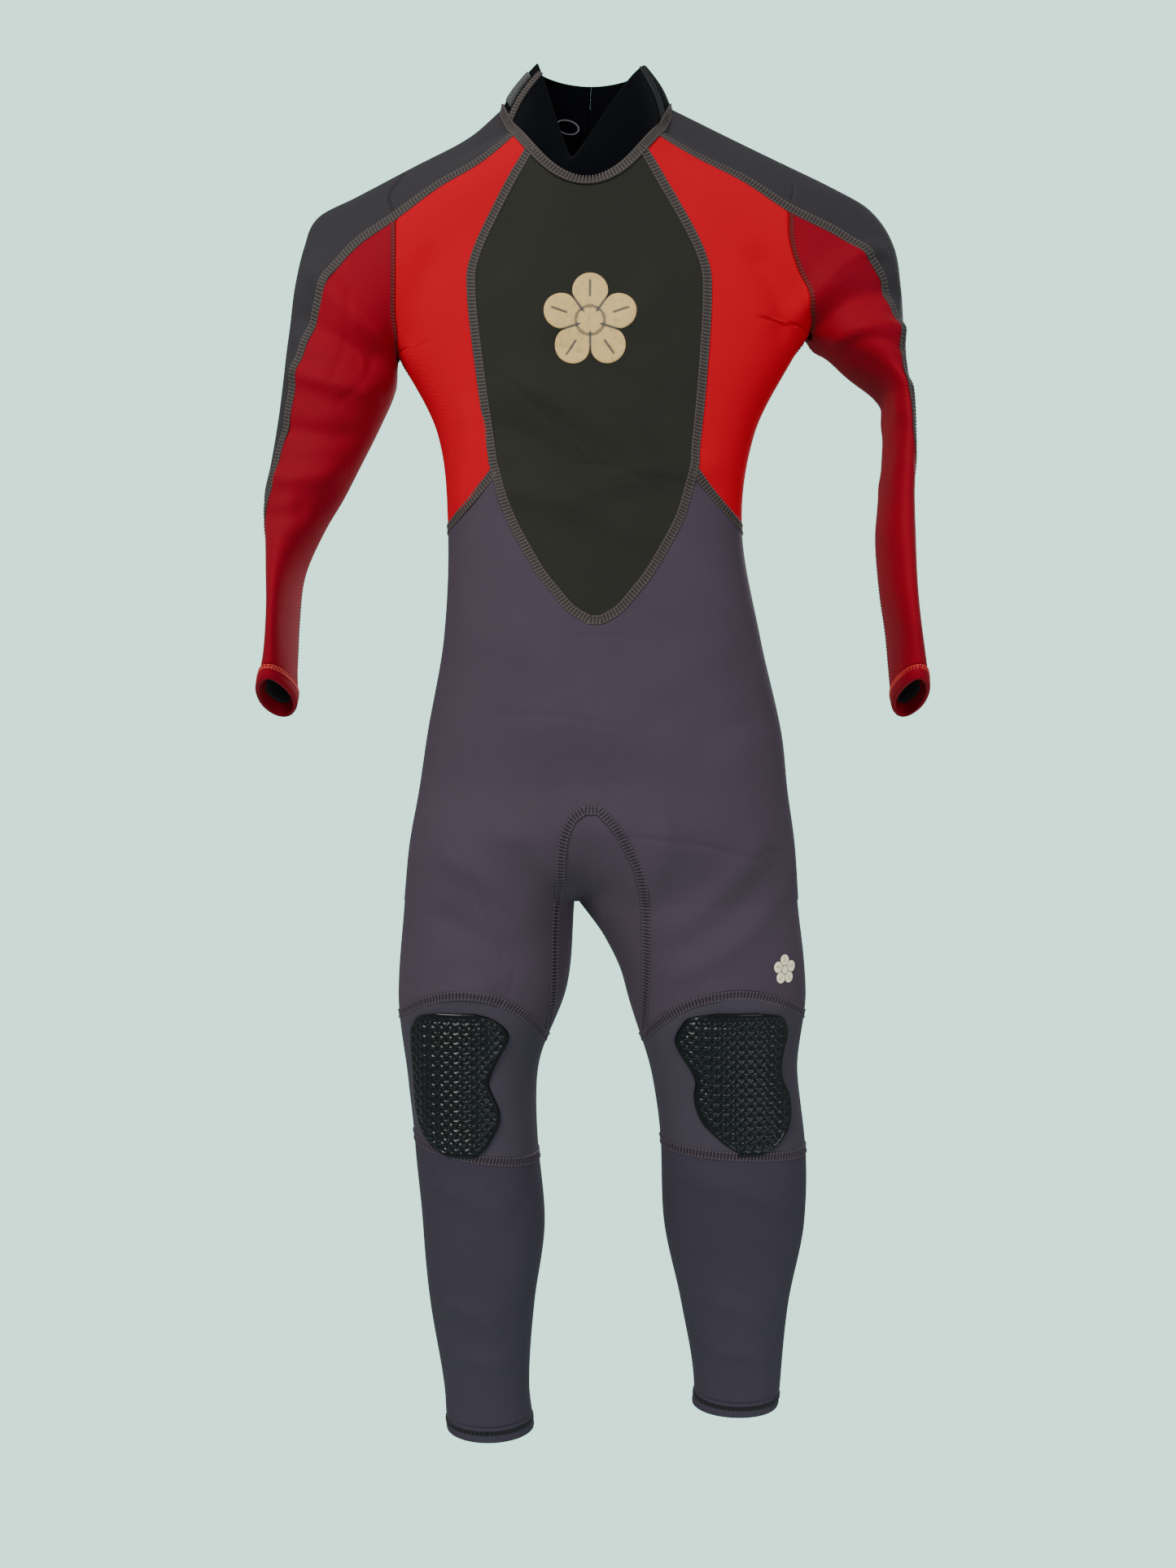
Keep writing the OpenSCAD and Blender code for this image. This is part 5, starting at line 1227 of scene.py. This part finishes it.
def collar():
    collar_piece("collar_front_cloth", "collar_front", -64, 64, 0.0, 1, "collar", wave=0.5)
    collar_piece("collar_back_left_cloth", "collar_back_left", 64, 179.97, 0.0, 1, "collar")
    collar_piece("collar_back_right_cloth", "collar_back_right", 180.03, 296, 0.0, 1, "collar")
    collar_piece("collar_loop_patch_nap", "collar_loop_patch", 206, 292, 0.2, 0.8, "loop",
                 PATCH_OFF + PATCH_T, PATCH_OFF - 0.4)
    collar_piece("collar_tab_cloth", "collar_tab", 152, 240, TAB_LOW, TAB_HIGH, "collar",
                 TAB_OFF + TAB_T, TAB_OFF, round_end=14, body="tab")
    size_ring()
    collar_piece("tab_hook_patch_nap", "tab_hook_patch", 212, 232, TAB_LOW + 0.1, TAB_HIGH - 0.1,
                 "loop", TAB_OFF - 0.2, TAB_OFF - 0.2 - PATCH_T, body="tab")


# ------------------------------------------------------------------ stitching
def normal(v):
    return v / np.maximum(1e-6, np.linalg.norm(v, axis=1, keepdims=True))


def resampled(path, gap):
    """The same path with its points an even gap apart."""
    d = np.concatenate([[0], np.cumsum(np.linalg.norm(np.diff(path, axis=0), axis=1))])
    n = max(4, int(d[-1] / gap))
    s = np.linspace(0, d[-1], n)
    return np.stack([np.interp(s, d, path[:, k]) for k in range(3)], 1), s


def flatlock(name, path, mat="taupe", wide=8.0, loops=2.8, lift=0.15, dirs=None, follow="suit",
             folds=True, zigzag=False):
    """Flatlock seam: a low ribbon along the path, with a cord-like rail on each edge and rungs
    across it every loops millimetres; zigzag leans the rungs both ways into chevrons. Its height is
    a bell for each rail and a raised cosine for the rungs, and the attribute marks the hollows
    between them, where the thread's colour paints shade."""
    gap = loops / 5
    p, s = resampled(path, gap)
    n = outward(p) if dirs is None else dirs(p)
    across = normal(np.cross(normal(np.gradient(p, axis=0)), n))
    u = np.array([-1, -0.88, -0.7, -0.52, -0.3, 0, 0.3, 0.52, 0.7, 0.88, 1])[None]
    phase = s[:, None] / loops + (0.5 * np.abs(u) if zigzag else 0.16 * u)
    rungs = (0.5 + 0.5 * np.cos(2 * np.pi * phase)) * (np.abs(u) < 0.95)
    rail = np.exp(-((np.abs(u) - 0.76) / 0.14) ** 2) * (not zigzag)
    high = lift + 0.55 * rail * (0.7 + 0.3 * rungs) + 0.45 * rungs - 0.6 * (np.abs(u) > 0.95)
    rise = fold_height(p[:, 0], p[:, 2], np.sign(p[:, 1] + 1e-9))[:, None] if folds else 0.0
    pts = (p[:, None] + across[:, None] * (u * wide / 2)[..., None]
           + n[:, None] * (high + rise)[..., None])
    nr, nc = pts.shape[:2]
    ids = np.arange(nr * nc).reshape(nr, nc)
    quads = np.stack([ids[:-1, :-1], ids[:-1, 1:], ids[1:, 1:], ids[1:, :-1]], -1).reshape(-1, 4)
    facing = np.cross(pts[1, 0] - pts[0, 0], pts[0, 1] - pts[0, 0])
    if np.dot(facing, n[0]) > 0:
        quads = quads[:, ::-1]
    # mask of the hollows between rungs and rails, where the thread's colour paints shade
    hollow_shade = unit(1 - rungs - 0.6 * rail) * np.ones((nr, 1))
    obj = new_object(name, pts.reshape(-1, 3), quads, LOOKS[mat],
                     attributes={"hollow_shade": hollow_shade.ravel()})
    belongs(obj, follow)


def collar_dirs(p):
    """Out of the collar: away from the neck's middle line."""
    v = p * [1, 1, 0] - [NECK_X, 0, 0]
    v = v / NECK_HW ** 2 * [1, (NECK_HW / NECK_HD) ** 2, 0]
    v[:, 2] = 0.35 * np.linalg.norm(v, axis=1)
    return v / np.linalg.norm(v, axis=1, keepdims=True)


def seams():
    n = 400
    both = [chest_seam(side, np.linspace(0, 11, n)) for side in (RIGHT, LEFT)]
    x, z = (np.concatenate([both[0][k], both[1][k][::-1]]) for k in (0, 1))
    flatlock("chest_seam", skin(x, z, -1))
    fronts, backs = [], []
    for side in (LEFT, RIGHT):
        tag = SIDE[side]
        arm, knee = f"arm_{tag}", f"knee_{tag}"
        t = np.linspace(-1, 1, 900)
        flatlock(f"strip_front_seam_{tag}", strip_pt(side, -1, t), follow=arm)
        flatlock(f"strip_back_seam_{tag}", strip_pt(side, 1, t), follow=arm)
        z = np.linspace(hole_top(side) - 4, armpit_z(side) + 0.5, n)
        for face, end, look in ((-1, "front", "red_thread"), (1, "back", "mauve")):
            flatlock(f"armhole_seam_{end}_{tag}", skin(side * (armhole_x(side, z) + 1), z, face),
                     look, wide=4.0, loops=2.6, lift=0.0, follow=arm)
        flatlock(f"hip_seam_{tag}", skin(*waist_seam(side, np.linspace(0.5, 1, n))))
        z = np.linspace(armpit_z(side) - 2, SEAT_TOP, n)
        x = body_edge(side, z) - side * seam_back(side, z)
        flatlock(f"side_seam_{tag}", skin(x, z, 1), follow=arm)
        top, low = knee_top(side, 0.9), knee_low(side, 0.9)
        for name, z, follow in (("hip", np.linspace(SEAT_TOP, top, n), "suit"),
                                ("knee", np.linspace(top, low, n), knee)):
            flatlock(f"{name}_side_seam_{tag}", skin(side * (leg_out(side, z) - SEAM_BACK), z, 1),
                     "mauve", follow=follow)
        back_foot = knee_top(side, -1)
        front_foot = float(knee_level(side, 0, np.array(back_foot)))
        for rows, foot in ((fronts, front_foot), (backs, back_foot)):
            z = np.linspace(GUSSET_TOP - 0.5, foot, n)
            rows.append((side * gusset_x(side, z), z))
        t = np.sin(np.linspace(-np.pi / 2, np.pi / 2, n))
        z = knee_top(side, t)
        x = side * (leg_mid(side, z) + leg_half(side, z) * t)
        flatlock(f"knee_top_seam_{tag}", skin(x, z, -1), "mauve")
        a = np.linspace(-90, 270, 2 * n)
        flatlock(f"knee_low_seam_{tag}", leg_pt(side, a, knee_low(side, sind(a))), "mauve",
                 follow=knee)
        a = np.linspace(0, 360, 2 * n)
        flatlock(f"cuff_stitch_{tag}", sleeve_pt(side, a, CUFF_TOP - 1.5 + 0 * a), "coral_thread",
                 wide=3.8, loops=2.6, lift=0.6, follow=f"sleeve_{tag}", folds=False)
        flatlock(f"hem_stitch_{tag}", leg_pt(side, a, lv(7) - LEG_END[side] + 8 + 0 * a),
                 "dark_thread", wide=3.6, loops=3.4, lift=0.2, follow=f"calf_{tag}", zigzag=True)
    for name, ((xl, zl), (xr, zr)), face in (("front", fronts, -1), ("back", backs, 1)):
        x, z = np.concatenate([xl[::-1], xr]), np.concatenate([zl[::-1], zr])
        flatlock(f"gusset_seam_{name}", skin(x, z, face), "mauve")
    t = np.linspace(-180, 180, 900)
    ring = skin(NECK_X + NECK_HW * sind(t), neck_seam_z(t), np.where(cosd(t) >= 0, -1, 1))
    flatlock("neck_seam", ring, wide=8.5, lift=0.6, dirs=collar_dirs, folds=False)
    for t, tag, look in ((64.0, "left", "dark_thread"), (296.0, "right", "taupe")):
        path = collar_pt(np.full(60, t), np.linspace(0.02, 0.98, 60))
        out = collar_out(np.array([t]), np.array([0.5]))[0]
        flatlock(f"collar_seam_{tag}", path, look, wide=6.5, lift=0.3, folds=False,
                 dirs=lambda p, v=out: np.repeat(v[None], len(p), 0))
    x = np.linspace(float(body_edge(RIGHT, SEAT_TOP) + SEAM_BACK),
                    float(body_edge(LEFT, SEAT_TOP) - SEAM_BACK), n)
    flatlock("seat_seam", skin(x, SEAT_TOP + 0 * x, 1))


# ------------------------------------------------------------------ prints
def blossom(name, node, cx, cz, r, mat, across=1.0):
    """Five petals on a polar grid: the radius is r times a lobed cosine, and the petals are parted
    by thin lines round the centre and between the lobes."""
    nr, n = 26, 260
    a = np.linspace(0, 360, n, endpoint=False)[None]
    k = np.linspace(0.004, 1, nr)[:, None]
    lobe = 0.52 + 0.48 * np.abs(cosd(2.5 * a)) ** 0.55
    grid = skin(cx + across * k * r * lobe * sind(a), cz + k * r * lobe * cosd(a), -1)
    off = np.abs(np.mod(a, 72) - 36)            # degrees from the line between two petals
    between = np.exp(-(off * k / 2.4) ** 4) * (k > 0.33)
    vein = np.exp(-((36 - off) * k / 1.5) ** 4) * (k > 0.5) * (k < 0.86)
    centre = np.exp(-((k * lobe - 0.3) / 0.028) ** 4)
    cut = np.clip(between + vein + centre, 0, 1)
    obj = shell(name, grid, LOOKS[mat], top=0.65, bottom=0.05, ring=True, tuck=0.2,
                extra=-0.35 * cut, values={"line": cut})
    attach(obj, "suit")
    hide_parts(node)


# ------------------------------------------------------------------ make everything
chest_panel()
hip_panel()
gusset()
seat_panel()
for s in (LEFT, RIGHT):
    side_panel(s)
    strips(s)
    sleeve_under(s)
    cuff(s)
    back_panel(s)
    knee_panel(s)
    knee_pad(s)
    lower_leg(s)
collar()
seams()
blossom("chest_blossom", "chest_print", -2, lv(0.94), 38, "chest_ink")
blossom("thigh_blossom", "thigh_print", float(leg_mid(LEFT, lv(4.36))) + 56, lv(4.36), 12,
        "thigh_ink", across=0.8)

for look, nodes in (("tape", ("zip_tape_left", "zip_tape_right", "zip_flap")),
                    ("teeth", ("zip_teeth_left", "zip_teeth_right")),
                    ("plastic", ("zip_slider", "pull_tab", "zip_top_stops", "zip_bottom_stop"))):
    for node in nodes:
        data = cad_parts[node].data
        if not data.materials:
            data.materials.append(LOOKS[look])
        for i in range(len(data.materials)):
            data.materials[i] = LOOKS[look]


# ------------------------------------------------------------------ studio
def plain(name, colour):
    s = Shader(name, rough=0.9, specular=0.2)
    s.colour(s.ramp(s.noise(3, 2), (0.3, dim(colour, 0.985)), (0.7, dim(colour, 1.015))))
    return s.mat


def studio():
    """A pale floor below, a world that gives soft light, two lamps in front and one behind. The
    floor is a disc on a polar grid."""
    radius, level = 1150, -2050.0
    r, a = np.meshgrid(np.linspace(0.001, 1.0, 12), np.linspace(0, 2 * np.pi, 97)[:-1],
                       indexing="ij")
    pts = np.stack([radius * r * np.sin(a), radius * r * np.cos(a), np.full_like(r, level)], -1)
    ids = np.arange(r.size).reshape(r.shape)
    nxt = np.roll(ids, -1, 1)
    quads = np.stack([ids[:-1], ids[1:], nxt[1:], nxt[:-1]], -1).reshape(-1, 4)[:, ::-1]
    pale = plain("pale_floor", (0.645, 0.96, 0.845, 1))
    new_object("floor", pts.reshape(-1, 3), quads, pale)
    world = bpy.data.worlds.new("soft_light")
    world.use_nodes = True
    tree = world.node_tree
    soft, seen = tree.nodes["Background"], tree.nodes.new("ShaderNodeBackground")
    soft.inputs["Color"].default_value = (0.92, 0.97, 1.0, 1)
    soft.inputs["Strength"].default_value = 0.54
    seen.inputs["Color"].default_value = (0.48, 0.84, 0.72, 1)
    seen.inputs["Strength"].default_value = 2.3
    path, both = tree.nodes.new("ShaderNodeLightPath"), tree.nodes.new("ShaderNodeMixShader")
    tree.links.new(path.outputs["Is Camera Ray"], both.inputs[0])
    tree.links.new(soft.outputs[0], both.inputs[1])
    tree.links.new(seen.outputs[0], both.inputs[2])
    tree.links.new(both.outputs[0], tree.nodes["World Output"].inputs["Surface"])
    bpy.context.scene.world = world
    for name, place, size, power, colour in (
            ("key_light", (-2.0, -2.7, 1.7), 1.3, 165, (1, 0.985, 0.96)),
            ("fill_light", (2.3, -3.4, 0.0), 2.2, 86, (0.95, 0.975, 1)),
            ("back_light", (1.6, 2.9, 1.3), 1.8, 105, (1, 1, 1))):
        light = bpy.data.lights.new(name, "AREA")
        light.size, light.energy, light.color = size, power, colour
        lamp = bpy.data.objects.new(name, light)
        lamp.location = place
        aim = Vector((0, 0, -0.55)) - Vector(place)
        lamp.rotation_euler = aim.to_track_quat("-Z", "Y").to_euler()
        bpy.context.scene.collection.objects.link(lamp)
    cam = bpy.data.cameras.new("camera")
    cam.lens, cam.sensor_width, cam.sensor_fit = 26, 36, "AUTO"
    eye = bpy.data.objects.new("camera", cam)
    eye.location = (-0.00375, -0.95, -0.5553)
    eye.rotation_euler = (math.radians(90), 0, 0)
    bpy.context.scene.collection.objects.link(eye)
    bpy.context.scene.camera = eye


studio()
